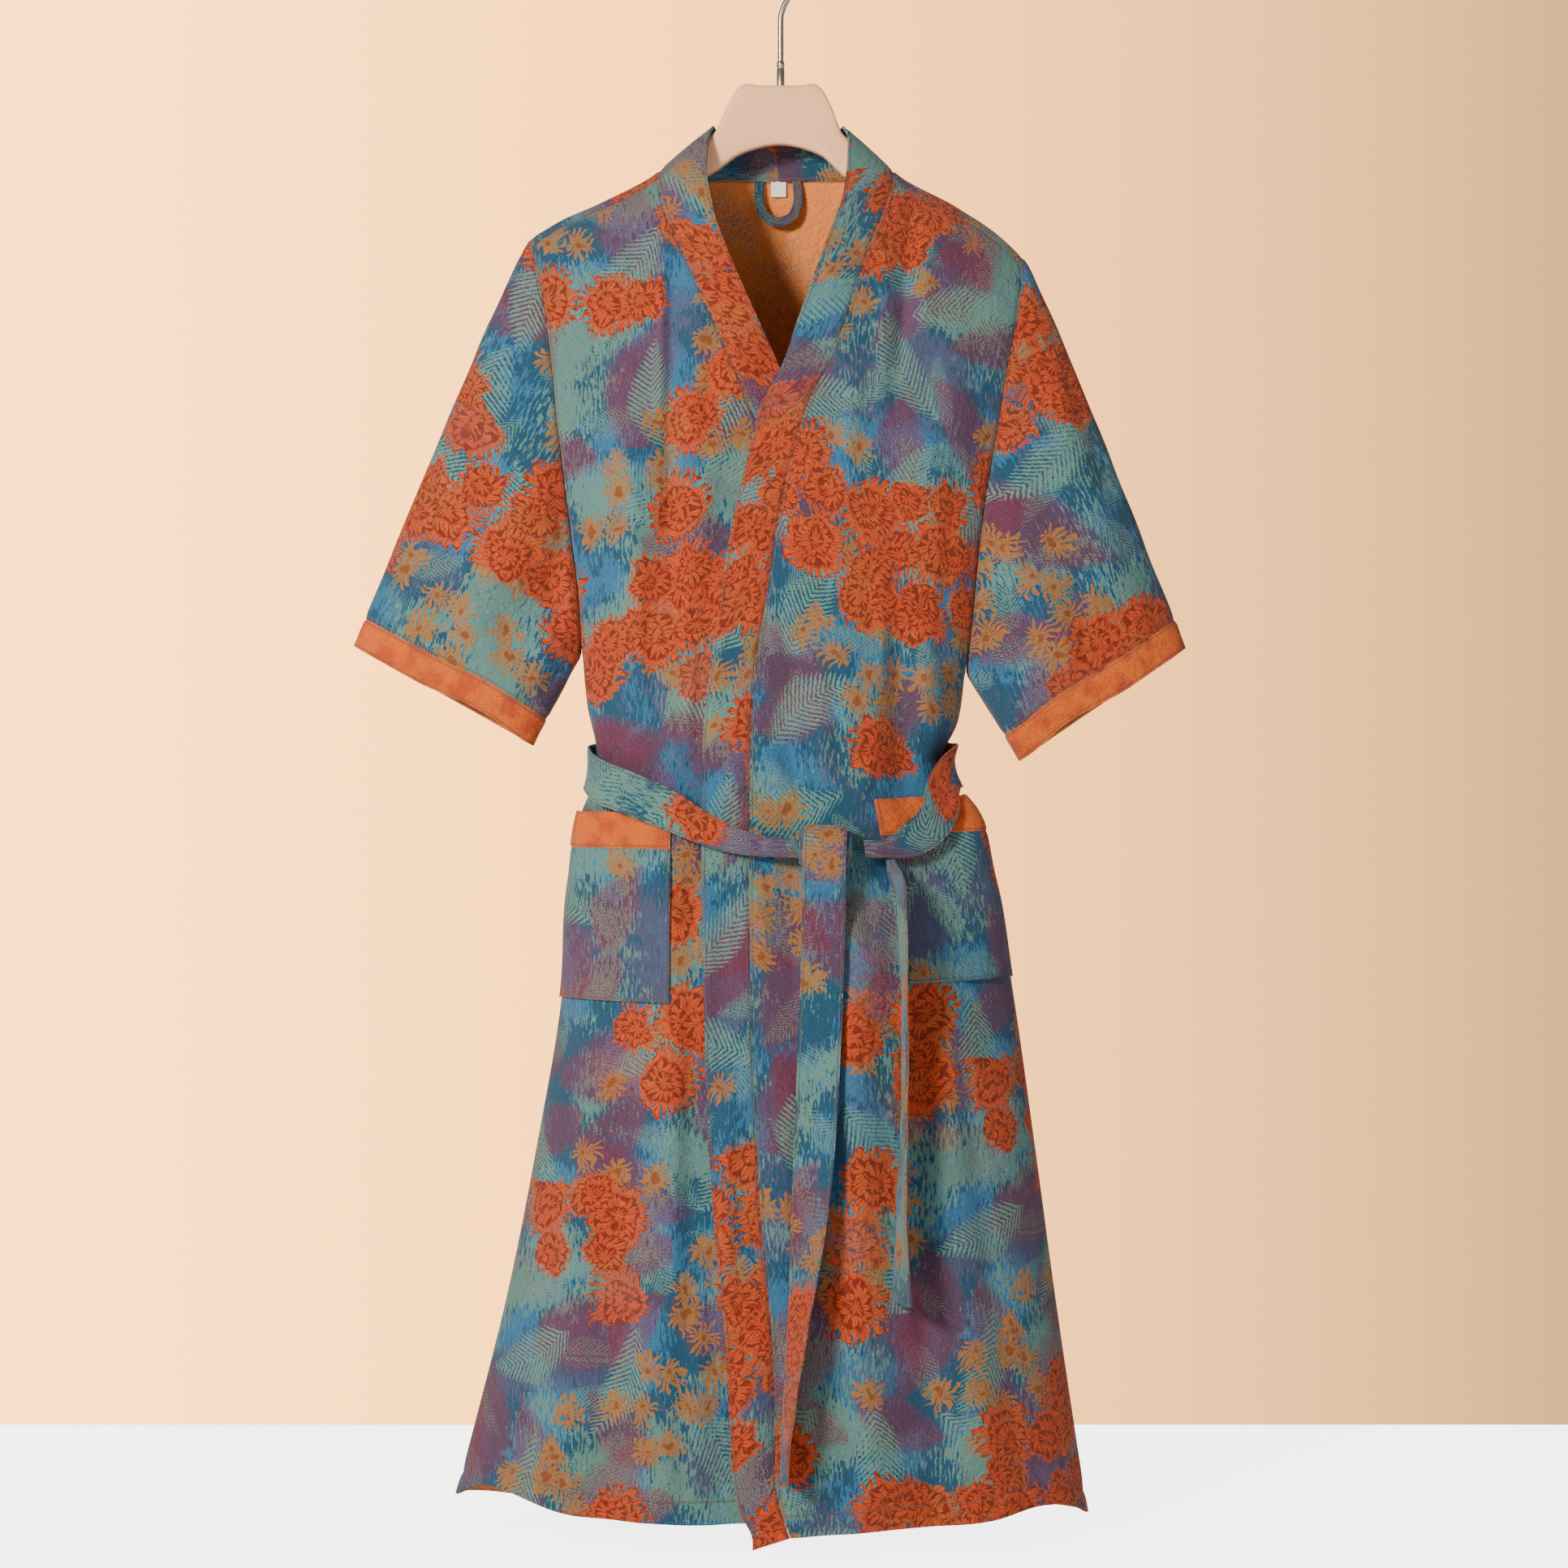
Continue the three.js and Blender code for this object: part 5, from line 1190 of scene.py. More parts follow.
def build_bands():
    columns = np.linspace(0, 1, 21)
    for side, shift in (("left", (130.0, 300.0)), ("right", (260.0, -180.0))):
        points = band_points(side, columns)
        into = square_to(points, (0, -1, 0))
        across = run(points, 1)
        along = run(points, 0)
        wide = across[:, -1:]
        border = np.minimum(across, wide - across)
        out = 0.7 * np.sin(np.pi * across / wide) - valley(across, 0.7, 2.0)
        out = out - valley(border - 2.2, 0.35, 1.2)
        out = out + 0.25 * np.sin(along / 6.3 + 2.2 * np.sin(along / 47)) * np.exp(-((border / 7) ** 2))
        outer = points - into * out[..., None]
        inner = outer + into * BAND_WALL
        uv = np.stack([across + shift[0], along + shift[1]], -1)
        warmth = 0.9 * smooth(np.sin(along / 150 + (1.2 if side == "right" else 4.0)) + 0.55)
        mesh = wall(
            f"collar_{side}",
            outer,
            inner,
            uv,
            printed()[:1],
            border=border,
            hem=NO_SEAM,
            warmth=warmth - 0.15,
        )
        piece(f"collar_{side}", mesh)


def sleeve_length(side, share):
    cuff = CUFF[side]
    shoulder_x, shoulder_z = SHOULDER[side]
    under = underarm(side)
    outer = math.hypot(cuff["outer"][0] - shoulder_x, cuff["outer"][1] - shoulder_z)
    inner = math.hypot(cuff["inner"][0] - float(edge(side, under)), cuff["inner"][1] - under)
    return lerp(outer, inner, share)


def sleeve_points(side, turn, along):
    """A sleeve at a turn round its mouth and a share along it.

    The share of the way from the ridge to the underarm is (1 - cos turn) / 2, so the
    cuff's flattened ring is an ellipse. Places run straight from the armhole to it,
    and swell out between.
    """
    cuff = CUFF[side]
    share = (1 - np.cos(turn)) / 2
    sign = np.where(turn < 0, -1.0, 1.0)
    down = share * UNDERARM_SHARE
    across = 0.0 if side == "left" else 1.0
    behind = back_point(across, np.where((turn < 0) & (down < SEAM_ROW), -down, down))
    ahead = front_point(side, 1.0, np.maximum(down, SEAM_ROW))
    start = np.where(((turn < 0) & (down >= SEAM_ROW))[..., None], ahead, behind)
    end = np.stack(
        [
            lerp(cuff["outer"][0], cuff["inner"][0], share),
            sign * cuff["depth"] * 2 * np.sqrt(share * (1 - share)),
            lerp(cuff["outer"][1], cuff["inner"][1], share),
        ],
        -1,
    )
    points = lerp(start, end, along[..., None])
    out = math.copysign(1, cuff["outer"][0])
    points[..., 1] += sign * SLEEVE_SWELL * np.sin(np.pi * along) * np.sqrt(4 * share * (1 - share))
    points[..., 0] += out * SHOULDER_SWELL * np.sin(np.pi * np.sqrt(along)) * (1 - share) ** 4
    lift = np.where(turn < 0, smooth((share - 0.35) / 0.3) * smooth((0.98 - share) / 0.3), 0)
    points[..., 2] += CUFF_LIFT * lift * along**3 * np.minimum(1, 120 / sleeve_length(side, share))
    return points


def sleeve_relief(side, turn, along):
    """Outward folds of a sleeve: bells across segments of turn and length."""
    total = np.zeros(turn.shape)
    degrees = np.degrees(turn)
    for turn_0, along_0, turn_1, along_1, width, deep in zip(*SLEEVE_FOLDS[side].values()):
        t = np.clip((along - along_0) / (along_1 - along_0), 0, 1)
        off = (degrees - lerp(turn_0, turn_1, t)) / width
        ends = smooth((along - along_0) / 0.2) * smooth((along_1 - along) / 0.2)
        total += deep * ends * np.exp(-off * off)
    return total * smooth(along / 0.12)


def sleeve_map(side, turn, points):
    """A sleeve's flat coordinates: across from its outer fold, and along it.

    Across is the distance from the fold's line and from the fold's plane together,
    with the turn's sign, so front and back mirror each other over the fold.
    """
    (x0, z0), (x1, z1) = SHOULDER[side], CUFF[side]["outer"]
    length = math.hypot(x1 - x0, z1 - z0)
    ex, ez = (x1 - x0) / length, (z1 - z0) / length
    dx, dz = points[..., 0] - x0, points[..., 2] - z0
    from_fold = np.abs(dx * ez - dz * ex)
    across = np.hypot(from_fold, points[..., 1])
    return np.stack([np.where(turn < 0, -across, across), -(dx * ex + dz * ez)], -1)


def build_sleeves():
    turns = np.linspace(-np.pi, np.pi, 151)
    for side, shift in (("left", (1500.0, 200.0)), ("right", (1900.0, -60.0))):
        share = (1 - np.cos(turns)) / 2
        band_at = 1 - CUFF_BAND / sleeve_length(side, share)
        for part, rows in (("sleeve", np.linspace(0, 1, 100)), ("cuff", np.linspace(0, 1, 14))):
            low, high = (0 * band_at, band_at) if part == "sleeve" else (band_at, 0 * band_at + 1)
            along = lerp(low[None, :], high[None, :], rows[:, None])
            turn = np.broadcast_to(turns, along.shape)
            points = sleeve_points(side, turn, along)
            into = square_to(points, ring=True)
            way = run(points, 0)
            uv = sleeve_map(side, turn, points) + shift
            round_it = uv[..., 0]
            out = sleeve_relief(side, turn, along) + 0.8 * rumple(round_it, way)
            border = np.minimum(way, way[-1:] - way)
            if part == "sleeve":
                looks = printed()
                thick = PANEL_WALL
                out = out * smooth(way / 18) - valley(border)
            else:
                looks = [look("jacquard_gauze_trim"), look("jacquard_gauze_reverse")]
                thick = BAND_WALL
                pucker = 0.35 * np.sin(round_it / 4.7 + 2 * np.sin(round_it / 19))
                out = out + 0.5 - valley(way, 1.4, 2.2) + pucker * np.exp(-((border / 8) ** 2))
            outer = points - into * out[..., None]
            inner = outer + into * thick
            mesh = wall(
                f"{part}_{side}", outer, inner, uv, looks, ring=True, border=border, hem=NO_SEAM, warmth=0.0
            )
            piece(f"{part}_{side}", mesh)


def pocket_points(side, across, down):
    """A patch pocket at shares from its inner edge and down it, standing off its front.

    It stands out most at one place of its open top: a power of the share across,
    taken through a sine, fading down the pocket.
    """
    shape = POCKET[side]
    z = lerp(shape["top"], shape["foot"], down) + shape["slant"] * across
    side_x = edge(side, z)
    outer = side_x - np.sign(side_x) * POCKET_SIDE
    inner = lerp(shape["in_top"], shape["in_foot"], down)
    step = 0.01

    def place(a, height):
        return on_front(side, lerp(inner, outer, a), height)

    points = place(across, z)
    ahead = place(np.minimum(across + step, 1), z) - place(np.maximum(across - step, 0), z)
    normal = unit(np.cross(ahead, place(across, z - 1) - place(across, z + 1)))
    normal = normal * -np.sign(normal[..., 1:2])
    rise = np.sin(np.pi * across ** shape["peak"]) ** 0.8
    ease = np.minimum(1, 8 * across * (1 - across)) * np.minimum(1, 5 * (1 - down))
    out = shape["gape"] * (1 - down) ** 1.4 * rise + POCKET_EASE * ease
    level = unit(normal * np.array([1, 1, 0]))
    return points + normal * (LAYER_GAP + CAD_WALL) + level * out[..., None]


def build_pockets():
    columns = 1 - (1 - np.linspace(0, 1, 56)) ** 1.4
    for side, shift in (("left", (2300.0, 30.0)), ("right", (2600.0, 340.0))):
        for part, low, high, count in (
            ("pocket_band", 0, POCKET_BAND_SHARE, 16),
            ("pocket", POCKET_BAND_SHARE, 1, 52),
        ):
            down, across = np.meshgrid(np.linspace(low, high, count), columns, indexing="ij")
            points = pocket_points(side, across, down)
            into = square_to(points, (0, -1, 0))
            way = run(points, 0)
            over = run(points, 1)
            sides = np.minimum(over, over[:, -1:] - over)
            if part == "pocket":
                border = np.minimum(sides, way[-1:] - way)
                out = -valley(way, 0.8, 2.0) + 0.35 * np.sin(over / 11 + way / 17)
                looks = printed()
            else:
                border = np.minimum(sides, way[-1:] - way)
                out = 0.5 - valley(way[-1:] - way, 1.0, 2.0) + 0.3 * np.sin(over / 8 + 1)
                out = out * smooth(sides / 5)
                looks = [look("jacquard_gauze_trim"), look("jacquard_gauze_reverse")]
            thick = lerp(POCKET_WALL, 1.7, smooth(sides / 9) * (1 - down))
            outer = points - into * out[..., None]
            inner = outer + into * thick[..., None]
            uv = np.stack([over + shift[0], shift[1] - way], -1)
            mesh = wall(
                f"{part}_{side}", outer, inner, uv, looks, border=border, hem=NO_SEAM, warmth=0.0
            )
            piece(f"{part}_{side}", mesh)


def girth_points(angle, z, off):
    """A place on the belt's way round the body: a superellipse set off from it."""
    left = edge("left", z)
    right = edge("right", z)
    cosine = np.cos(np.radians(angle))
    sine = np.sin(np.radians(angle))
    face = np.where(sine < 0, at(BODY, "z", "front", z), at(BODY, "z", "back", z))
    half = (right - left) / 2 + off
    x = (left + right) / 2 + half * np.sign(cosine) * np.abs(cosine) ** (2 / SIDE_POWER)
    y = np.sign(sine) * (face + off) * (sine * sine) ** SIDE_ROUND
    return np.stack([x, y, z], -1)


def strip(name, points, outward, shift, looks, crumple=0.5, thick=BELT_WALL, ring=False):
    """A sewn strip on a grid: soft at its edges, with a sewing line along both."""
    into = square_to(points, outward, ring)
    over = run(points, 1)
    way = run(points, 0)
    border = np.minimum(over, over[:, -1:] - over)
    out = 0.5 * smooth(border / 4) - valley(border - 2.2, 0.3, 1.2)
    out = out + crumple * np.sin(way / 11 + 1.8 * np.sin(way / 39) + over / 14)
    outer = points - into * out[..., None]
    inner = outer + into * (thick * (0.45 + 0.55 * smooth(border / 2)))[..., None]
    uv = np.stack([over + shift[0], way + shift[1]], -1)
    return wall(name, outer, inner, uv, looks, border=border, hem=NO_SEAM, warmth=-0.4)


def build_belt():
    width = np.linspace(-0.5, 0.5, 17)
    angle = np.linspace(BELT["angle"][0], BELT["angle"][-1], 420)
    z, off, wide = (at(BELT, "angle", key, angle) for key in ("z", "off", "width"))
    points = girth_points(
        angle[:, None], z[:, None] + width[None, :] * wide[:, None], off[:, None]
    )
    keys = run(points, 0).mean(1)
    points = spline(keys, points, np.linspace(0, keys[-1], 420))
    mesh = strip("belt", points, (0, 1, 0), (3100.0, 0.0), printed()[:1], 0.3)
    piece("belt", mesh)
    for length, shift in (("long", (3300.0, 60.0)), ("short", (3500.0, 500.0))):
        rows = TAILS[length]
        y = -depth("front", rows["x"], rows["z"]) - rows["off"]
        middle = np.stack([rows["x"], y, rows["z"], rows["face"], rows["width"]], -1)
        keys = np.concatenate([[0], np.cumsum(np.linalg.norm(np.diff(middle[:, :3], axis=0), axis=1))])
        fine = spline(keys, middle, np.linspace(0, keys[-1], 200))
        turn = np.radians(fine[:, 3:4])
        reach = width[None, :] * fine[:, 4:5]
        points = np.stack(
            [
                fine[:, :1] + reach * np.cos(turn),
                fine[:, 1:2] - reach * np.sin(turn),
                fine[:, 2:3] + 0 * reach,
            ],
            -1,
        )
        mesh = strip(f"belt_tail_{length}", points, (0, -1, 0), shift, printed(), 0.4)
        piece(f"belt_tail_{length}", mesh)
    build_knot()


def build_knot():
    """The loop of the belt round both ends: a ring of cloth drawn in at its edges."""
    along = np.linspace(-0.5, 0.5, 33)
    turn = np.linspace(0, 2 * np.pi, 97)
    size = at(KNOT_RINGS, "along", "size", along)[:, None]
    pleats = 1 + 0.035 * np.sin(9 * np.pi * along + 0.8)[:, None] * (1 + 0.4 * np.sin(2 * turn))
    middle = -float(depth("front", np.array(KNOT["x"]), np.array(KNOT["z"]))) - KNOT["off"]
    lean = 3.0 * np.sin(np.pi * along)[:, None] * np.sin(turn)
    points = np.stack(
        np.broadcast_arrays(
            KNOT["x"] + (along * KNOT["wide"])[:, None],
            middle - np.cos(turn) * KNOT["deep"] * size * pleats,
            KNOT["z"] + np.sin(turn) * KNOT["high"] * size * pleats + 0.2 * lean,
        ),
        -1,
    )
    into = square_to(points, ring=True)
    over = run(points, 0)
    way = run(points, 1)
    border = np.minimum(over, over[-1:] - over)
    outer = points + into * (0.4 * (1 - smooth(border / 3)))[..., None]
    inner = outer + into * BELT_WALL
    uv = np.stack([over + 3700, way], -1)
    mesh = wall(
        "belt_knot", outer, inner, uv, printed(), ring=True, border=border, hem=NO_SEAM, warmth=-0.4
    )
    piece("belt_knot", mesh)


def build_neck_trim():
    nape = float(depth("back", LOOP["x"][0], LOOP["z"][0])) - CAD_WALL - 2 * LAYER_GAP
    middle = np.stack([LOOP["x"], LOOP["z"]], -1)
    keys = np.concatenate([[0], np.cumsum(np.linalg.norm(np.diff(middle, axis=0), axis=1))])
    fine = spline(keys, middle, np.linspace(0, keys[-1], 90))
    along = unit(np.gradient(fine, axis=0))
    width = np.linspace(-0.5, 0.5, 11)[None, :] * LOOP_STRIP
    points = np.stack(
        [
            fine[:, :1] - along[:, 1:] * width,
            nape + 0 * width + 0 * fine[:, :1],
            fine[:, 1:] + along[:, :1] * width,
        ],
        -1,
    )
    mesh = strip("hanging_loop", points, (0, 1, 0), (4100.0, 655.0), printed()[:1], 0.15, LOOP_WALL)
    piece("hanging_loop", mesh)
    down, over = np.meshgrid(np.linspace(0, 1, 15), np.linspace(-0.5, 0.5, 15), indexing="ij")
    x = TAG["x"] + over * TAG["width"]
    z = TAG["top"] - down * TAG["height"]
    y = depth("back", x, z) - CAD_WALL - LAYER_GAP - 0.8 * down**2
    points = np.stack([x, y, z], -1)
    into = square_to(points, (0, 1, 0))
    inner = points + into * TAG["wall"]
    mesh = wall("size_label", points, inner, np.stack([x, z], -1), [look("white_satin_tape")])
    piece("size_label", mesh)


def hanger_top(x):
    """The hanger's upper edge: its neck's own line, and arms just under the shoulders."""
    slope = (ridge(x + 2) - ridge(x - 2)) / 4
    first, last = HANGER["x"][0], HANGER["x"][-1]
    ends = np.minimum(x - first, last - x)
    round_off = HANGER_REST * (1 - smooth(ends / 6))
    banded = (x > NECK_POINT["left"][0] - 6) & (x < NECK_POINT["right"][0] + 6)
    rest = np.where(banded, HANGER_BAND_REST, HANGER_REST)
    arm = ridge(x) - rest * np.hypot(1, slope) - round_off
    neck = (x > HANGER_NECK[0]) & (x < HANGER_NECK[1])
    return np.where(neck, at(HANGER_TOP, "x", "z", x), arm)


def tube(name, rings, material):
    """A closed form through rings of points, each end drawn to its middle."""
    first = np.repeat(rings[:1].mean(1, keepdims=True), rings.shape[1], 1)
    last = np.repeat(rings[-1:].mean(1, keepdims=True), rings.shape[1], 1)
    count, facets = rings.shape[:2]
    points = np.concatenate([rings.reshape(-1, 3), first[0, :1], last[0, :1]])
    number = np.arange(count * facets).reshape(count, facets)
    after = np.roll(number, -1, 1)
    quads = np.stack([number[:-1], after[:-1], after[1:], number[1:]], -1).reshape(-1, 4)
    ends = [
        np.stack([after[0], number[0], np.full(facets, count * facets)], -1),
        np.stack([number[-1], after[-1], np.full(facets, count * facets + 1)], -1),
    ]
    a, b, c, d = (points[quads[:, n]] for n in range(4))
    volume = (np.cross(a, b) * c).sum() + (np.cross(a, c) * d).sum()
    faces = quads.tolist() + ends[0].tolist() + ends[1].tolist()
    if volume < 0:
        faces = [face[::-1] for face in faces]
    mesh = bpy.data.meshes.new(name)
    mesh.from_pydata(points * MM, [], faces)
    mesh.polygons.foreach_set("use_smooth", np.ones(len(faces), bool))
    mesh.update()
    mesh.set_sharp_from_angle(angle=math.radians(40))
    mesh.materials.append(material)
    return mesh


def build_hanger():
    """The hanger: superellipse sections along its length, rounded off at both ends."""
    first, last = HANGER["x"][0], HANGER["x"][-1]
    near_end = np.array([0.02, 0.3, 0.8, 1.6])
    x = np.concatenate([first + near_end, np.linspace(first + 3, last - 3, 240), last - near_end[::-1]])
    ends = np.minimum(x - first, last - x)
    shrink = np.sqrt(1 - (1 - np.clip(ends / 3, 0, 1)) ** 2)[:, None]
    foot, half, power = (at(HANGER, "x", key, x)[:, None] for key in ("foot", "depth", "power"))
    top = hanger_top(x)[:, None]
    turn = np.linspace(0, 2 * np.pi, 72, endpoint=False)[None, :]

    def bent(v):
        return np.sign(v) * np.abs(v) ** (2 / power)

    y = half * shrink * bent(np.cos(turn))
    z = (top + foot) / 2 + (top - foot) / 2 * shrink * bent(np.sin(turn))
    rings = np.stack([x[:, None] + 0 * y, y, z], -1)
    piece("hanger", tube("hanger", rings, look("satin_moulded_plastic")), cut=False)


def build_hook():
    """The hook: a round wire along a straight shank, a bend and an open arc."""
    bend = HOOK["bend"]
    centre = -(bend - HOOK["wire"])
    start = math.radians(HOOK["from"])
    shank_top = centre - 2 * bend
    arc = np.radians(np.linspace(HOOK["from"], HOOK["to"], 90))
    arc = np.stack([bend * np.cos(arc), centre + bend * np.sin(arc)], -1)
    tangent = np.array([math.sin(-start), math.cos(start)])
    pull = 0.4 * bend
    ends = [np.array([0, shank_top]), np.array([0, shank_top + pull]), arc[0] - pull * tangent, arc[0]]
    t = np.linspace(0, 1, 30)[:, None]
    weights = ((1 - t) ** 3, 3 * t * (1 - t) ** 2, 3 * t**2 * (1 - t), t**3)
    lean = sum(w * p for w, p in zip(weights, ends))
    shank = np.stack([np.zeros(12), np.linspace(HOOK["foot"], shank_top, 12)], -1)
    path = np.concatenate([shank[:-1], lean[:-1], arc])
    tip = arc[-1] + unit(arc[-1] - arc[-2]) * np.array([[0.6], [0.9]])
    path = np.concatenate([path, tip])
    radius = np.full(len(path), HOOK["wire"])
    radius[-2:] = HOOK["wire"] * np.array([0.86, 0.55])
    along = unit(np.gradient(path, axis=0))
    turn = np.linspace(0, 2 * np.pi, 28, endpoint=False)[None, :]
    out = radius[:, None] * np.sin(turn)
    rings = np.stack(
        [
            path[:, :1] - along[:, 1:] * out,
            radius[:, None] * np.cos(turn),
            path[:, 1:] + along[:, :1] * out,
        ],
        -1,
    )
    steel = look("polished_steel_wire")
    piece("hook", tube("hook", rings, steel), cut=False)
    low, high, wide = FERRULE["foot"], FERRULE["top"], FERRULE["radius"]
    profile = np.array(
        [(0.7, low), (wide, low), (wide, high - 7), (wide - 0.5, high - 6.4), (wide - 0.5, high - 5.4),
         (wide, high - 4.8), (wide, high - 1.4), (wide - 0.4, high - 0.5), (wide - 1.0, high), (0.7, high)]
    )
    turn = np.linspace(0, 2 * np.pi, 48, endpoint=False)[None, :]
    rings = np.stack(
        [profile[:, :1] * np.cos(turn), profile[:, :1] * np.sin(turn), profile[:, 1:] + 0 * turn], -1
    )
    piece("hook_ferrule", tube("hook_ferrule", rings, steel), cut=False)


# The camera: its distance from the robe, height and framing, from the photograph
CAMERA = {"distance": 3000.0, "height": -717.0, "x": 2.8, "seen": 1341.0}
SENSOR_MM = 36.0
FLOOR_Z = -1360.0
WALL_Y = 520.0
FLOOR_GLOW = 4.2
WALL_LIT = (6.8, 2.95, 0.75)
WALL_SHADED = (1.35, 0.72, 0.3)


def plain(name, colour, rough):
    material, tree, shader = new_material(name)
    place = node(tree, "TexCoord", None, "Object")
    cloud = node(tree, "TexNoise", {"Vector": place, "Scale": 1.2, "Detail": 2.0}, "Fac")
    light = tuple(min(1.0, v * 1.05) for v in from_hex(colour))
    tree.links.new(painted(tree, from_hex(colour), light, cloud), shader.inputs["Base Color"])
    shader.inputs["Roughness"].default_value = rough
    shader.inputs["Emission Color"].default_value = (1, 0.975, 0.965, 1)
    glow = maths(tree, "MULTIPLY_ADD", node(tree, "LightPath", None, "Is Camera Ray"), FLOOR_GLOW, 0.25)
    tree.links.new(glow, shader.inputs["Emission Strength"])
    return material


def slab(name, low, high, material):
    """A flat stage piece between two corners of a level or an upright rectangle."""
    low, high = np.array(low), np.array(high)
    thin = int(np.argmin(high - low))
    a, b = [axis for axis in range(3) if axis != thin]
    corners = np.tile(low.astype(float), (4, 1))
    corners[1:3, a] = high[a]
    corners[2:, b] = high[b]
    mesh = bpy.data.meshes.new(name)
    mesh.from_pydata(corners * MM, [], [[0, 1, 2, 3]])
    mesh.materials.append(material)
    obj = bpy.data.objects.new(name, mesh)
    bpy.context.scene.collection.objects.link(obj)
    return obj


def area_light(name, place, target, size, power, colour):
    data = bpy.data.lights.new(name, "AREA")
    data.size = size
    data.energy = power
    data.color = from_hex(colour)
    obj = bpy.data.objects.new(name, data)
    obj.location = place
    obj.rotation_euler = (Vector(target) - Vector(place)).to_track_quat("-Z", "Y").to_euler()
    bpy.context.scene.collection.objects.link(obj)


def build_stage():
    scene = bpy.context.scene
    data = bpy.data.cameras.new("camera")
    data.sensor_width = SENSOR_MM
    data.lens = SENSOR_MM * CAMERA["distance"] / CAMERA["seen"]
    camera = bpy.data.objects.new("camera", data)
    camera.location = (CAMERA["x"] * MM, -CAMERA["distance"] * MM, CAMERA["height"] * MM)
    camera.rotation_euler = (math.pi / 2, 0, 0)
    scene.collection.objects.link(camera)
    scene.camera = camera
    slab("floor", (-6000, -6000, FLOOR_Z), (6000, WALL_Y, FLOOR_Z), plain("floor_paint", "#f3eff0", 0.5))
    area_light("key", (-1.8, -2.6, 0.4), (0, 0, -0.8), 0.6, 172, "#fff2e0")
    area_light("fill", (2.2, -2.3, -0.7), (0, 0, -0.9), 2.0, 15, "#eef3ff")
    area_light("back", (0.6, 2.4, 0.8), (0, 0, -0.7), 2.0, 30, "#fff6ee")
    world = bpy.data.worlds.new("room")
    world.use_nodes = True
    tree = world.node_tree
    lit = node(tree, "Background", {"Color": (*from_hex("#fbeedd"), 1), "Strength": 0.27})
    across = node(tree, "SeparateXYZ", {0: tree.nodes.new("ShaderNodeTexCoord").outputs["Window"]})
    wall = painted(tree, WALL_LIT, WALL_SHADED, across)
    seen = node(tree, "Background", {"Color": wall, "Strength": 1.0})
    ray = node(tree, "LightPath", None, "Is Camera Ray")
    both = node(tree, "MixShader", {0: ray, 1: lit, 2: seen})
    tree.links.new(both, tree.nodes["World Output"].inputs["Surface"])
    scene.world = world


class ROBE_OT_fronts(bpy.types.Operator):
    """Builds both front panels."""

    bl_idname = "robe.fronts"
    bl_label = "Fronts"

    def execute(self, context):
        build_fronts()
        return {"FINISHED"}


class ROBE_OT_back(bpy.types.Operator):
    """Builds the back panel."""

    bl_idname = "robe.back"
    bl_label = "Back"

    def execute(self, context):
        build_back()
        return {"FINISHED"}


class ROBE_OT_bands(bpy.types.Operator):
    """Builds the front and neck bands."""

    bl_idname = "robe.bands"
    bl_label = "Front bands"

    def execute(self, context):
        build_bands()
        return {"FINISHED"}


class ROBE_OT_sleeves(bpy.types.Operator):
    """Builds both sleeves with their cuffs."""

    bl_idname = "robe.sleeves"
    bl_label = "Sleeves and cuffs"

    def execute(self, context):
        build_sleeves()
        return {"FINISHED"}


class ROBE_OT_pockets(bpy.types.Operator):
    """Builds both patch pockets with their bands."""

    bl_idname = "robe.pockets"
    bl_label = "Pockets"

    def execute(self, context):
        build_pockets()
        return {"FINISHED"}


class ROBE_OT_belt(bpy.types.Operator):
    """Builds the belt, its knot and its free ends."""

    bl_idname = "robe.belt"
    bl_label = "Belt"

    def execute(self, context):
        build_belt()
        return {"FINISHED"}


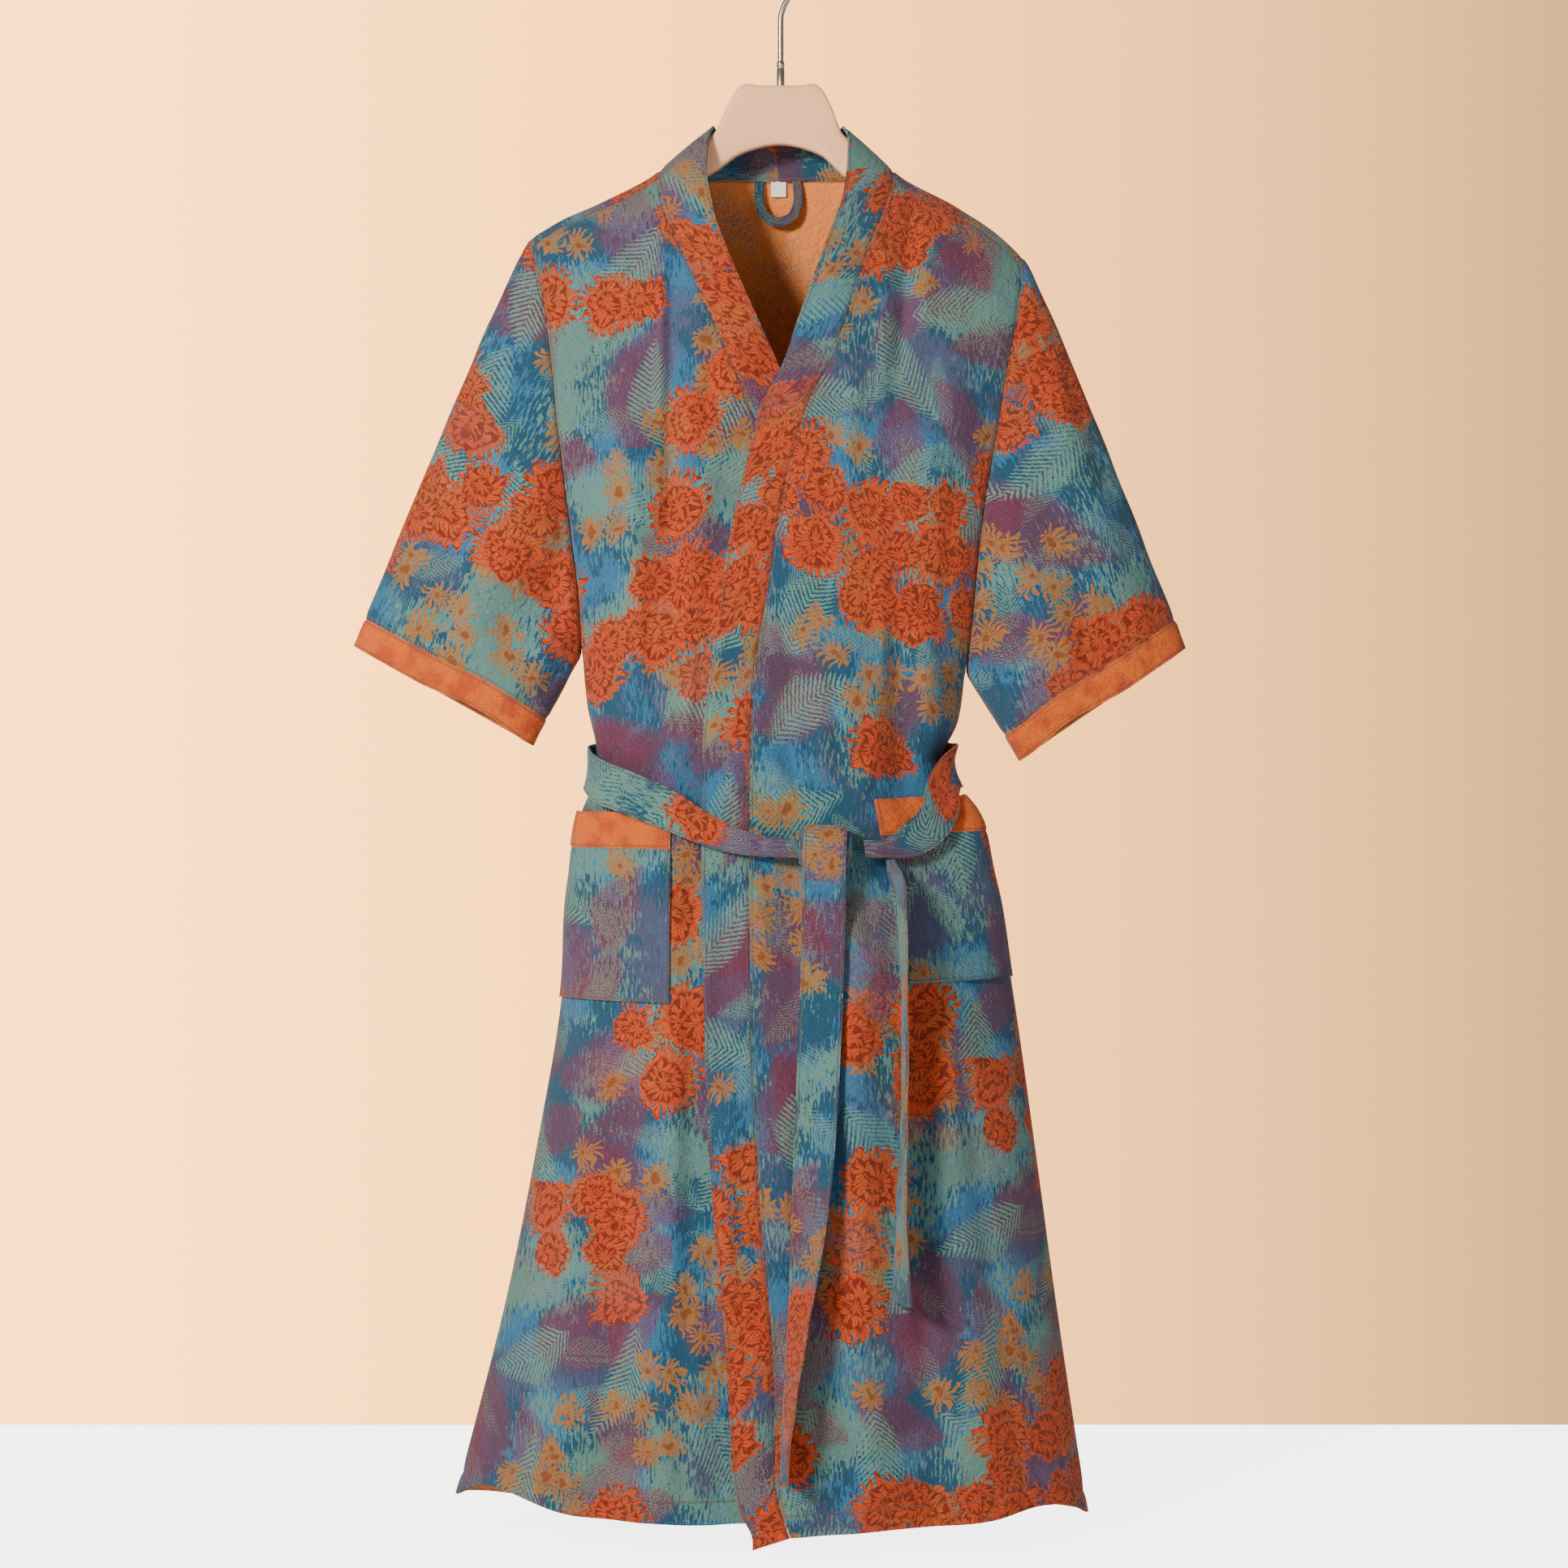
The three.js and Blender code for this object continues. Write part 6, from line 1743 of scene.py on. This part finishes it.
class ROBE_OT_neck_trim(bpy.types.Operator):
    """Builds the hanging loop and the size label."""

    bl_idname = "robe.neck_trim"
    bl_label = "Loop and label"

    def execute(self, context):
        build_neck_trim()
        return {"FINISHED"}


class ROBE_OT_hanger(bpy.types.Operator):
    """Builds the moulded hanger."""

    bl_idname = "robe.hanger"
    bl_label = "Hanger"

    def execute(self, context):
        build_hanger()
        return {"FINISHED"}


class ROBE_OT_hook(bpy.types.Operator):
    """Builds the hook and its ferrule."""

    bl_idname = "robe.hook"
    bl_label = "Hook"

    def execute(self, context):
        build_hook()
        return {"FINISHED"}


class ROBE_OT_stage(bpy.types.Operator):
    """Builds the camera, floor and lights."""

    bl_idname = "robe.stage"
    bl_label = "Stage"

    def execute(self, context):
        build_stage()
        return {"FINISHED"}


OPERATORS = (
    ROBE_OT_fronts,
    ROBE_OT_back,
    ROBE_OT_bands,
    ROBE_OT_sleeves,
    ROBE_OT_pockets,
    ROBE_OT_belt,
    ROBE_OT_neck_trim,
    ROBE_OT_hanger,
    ROBE_OT_hook,
    ROBE_OT_stage,
)


class ROBE_PT_panel(bpy.types.Panel):
    """Lists the robe's settings and the operators that build it."""

    bl_label = "Bathrobe"
    bl_idname = "ROBE_PT_panel"
    bl_space_type = "VIEW_3D"
    bl_region_type = "UI"
    bl_category = "Bathrobe"

    def draw(self, context):
        for settings in (context.scene.robe_cloth, context.scene.robe_hanger):
            for key in settings.__annotations__:
                self.layout.prop(settings, key)
        for made in OPERATORS:
            self.layout.operator(made.bl_idname)


CLASSES = (ROBE_PG_cloth, ROBE_PG_hanger, *OPERATORS, ROBE_PT_panel)


def register():
    for made in CLASSES:
        bpy.utils.register_class(made)
    bpy.types.Scene.robe_cloth = PointerProperty(type=ROBE_PG_cloth)
    bpy.types.Scene.robe_hanger = PointerProperty(type=ROBE_PG_hanger)


def unregister():
    del bpy.types.Scene.robe_hanger
    del bpy.types.Scene.robe_cloth
    for made in reversed(CLASSES):
        bpy.utils.unregister_class(made)


def main():
    register()
    for made in OPERATORS:
        getattr(bpy.ops.robe, made.bl_idname.split(".")[1])()


if __name__ == "__main__":
    main()
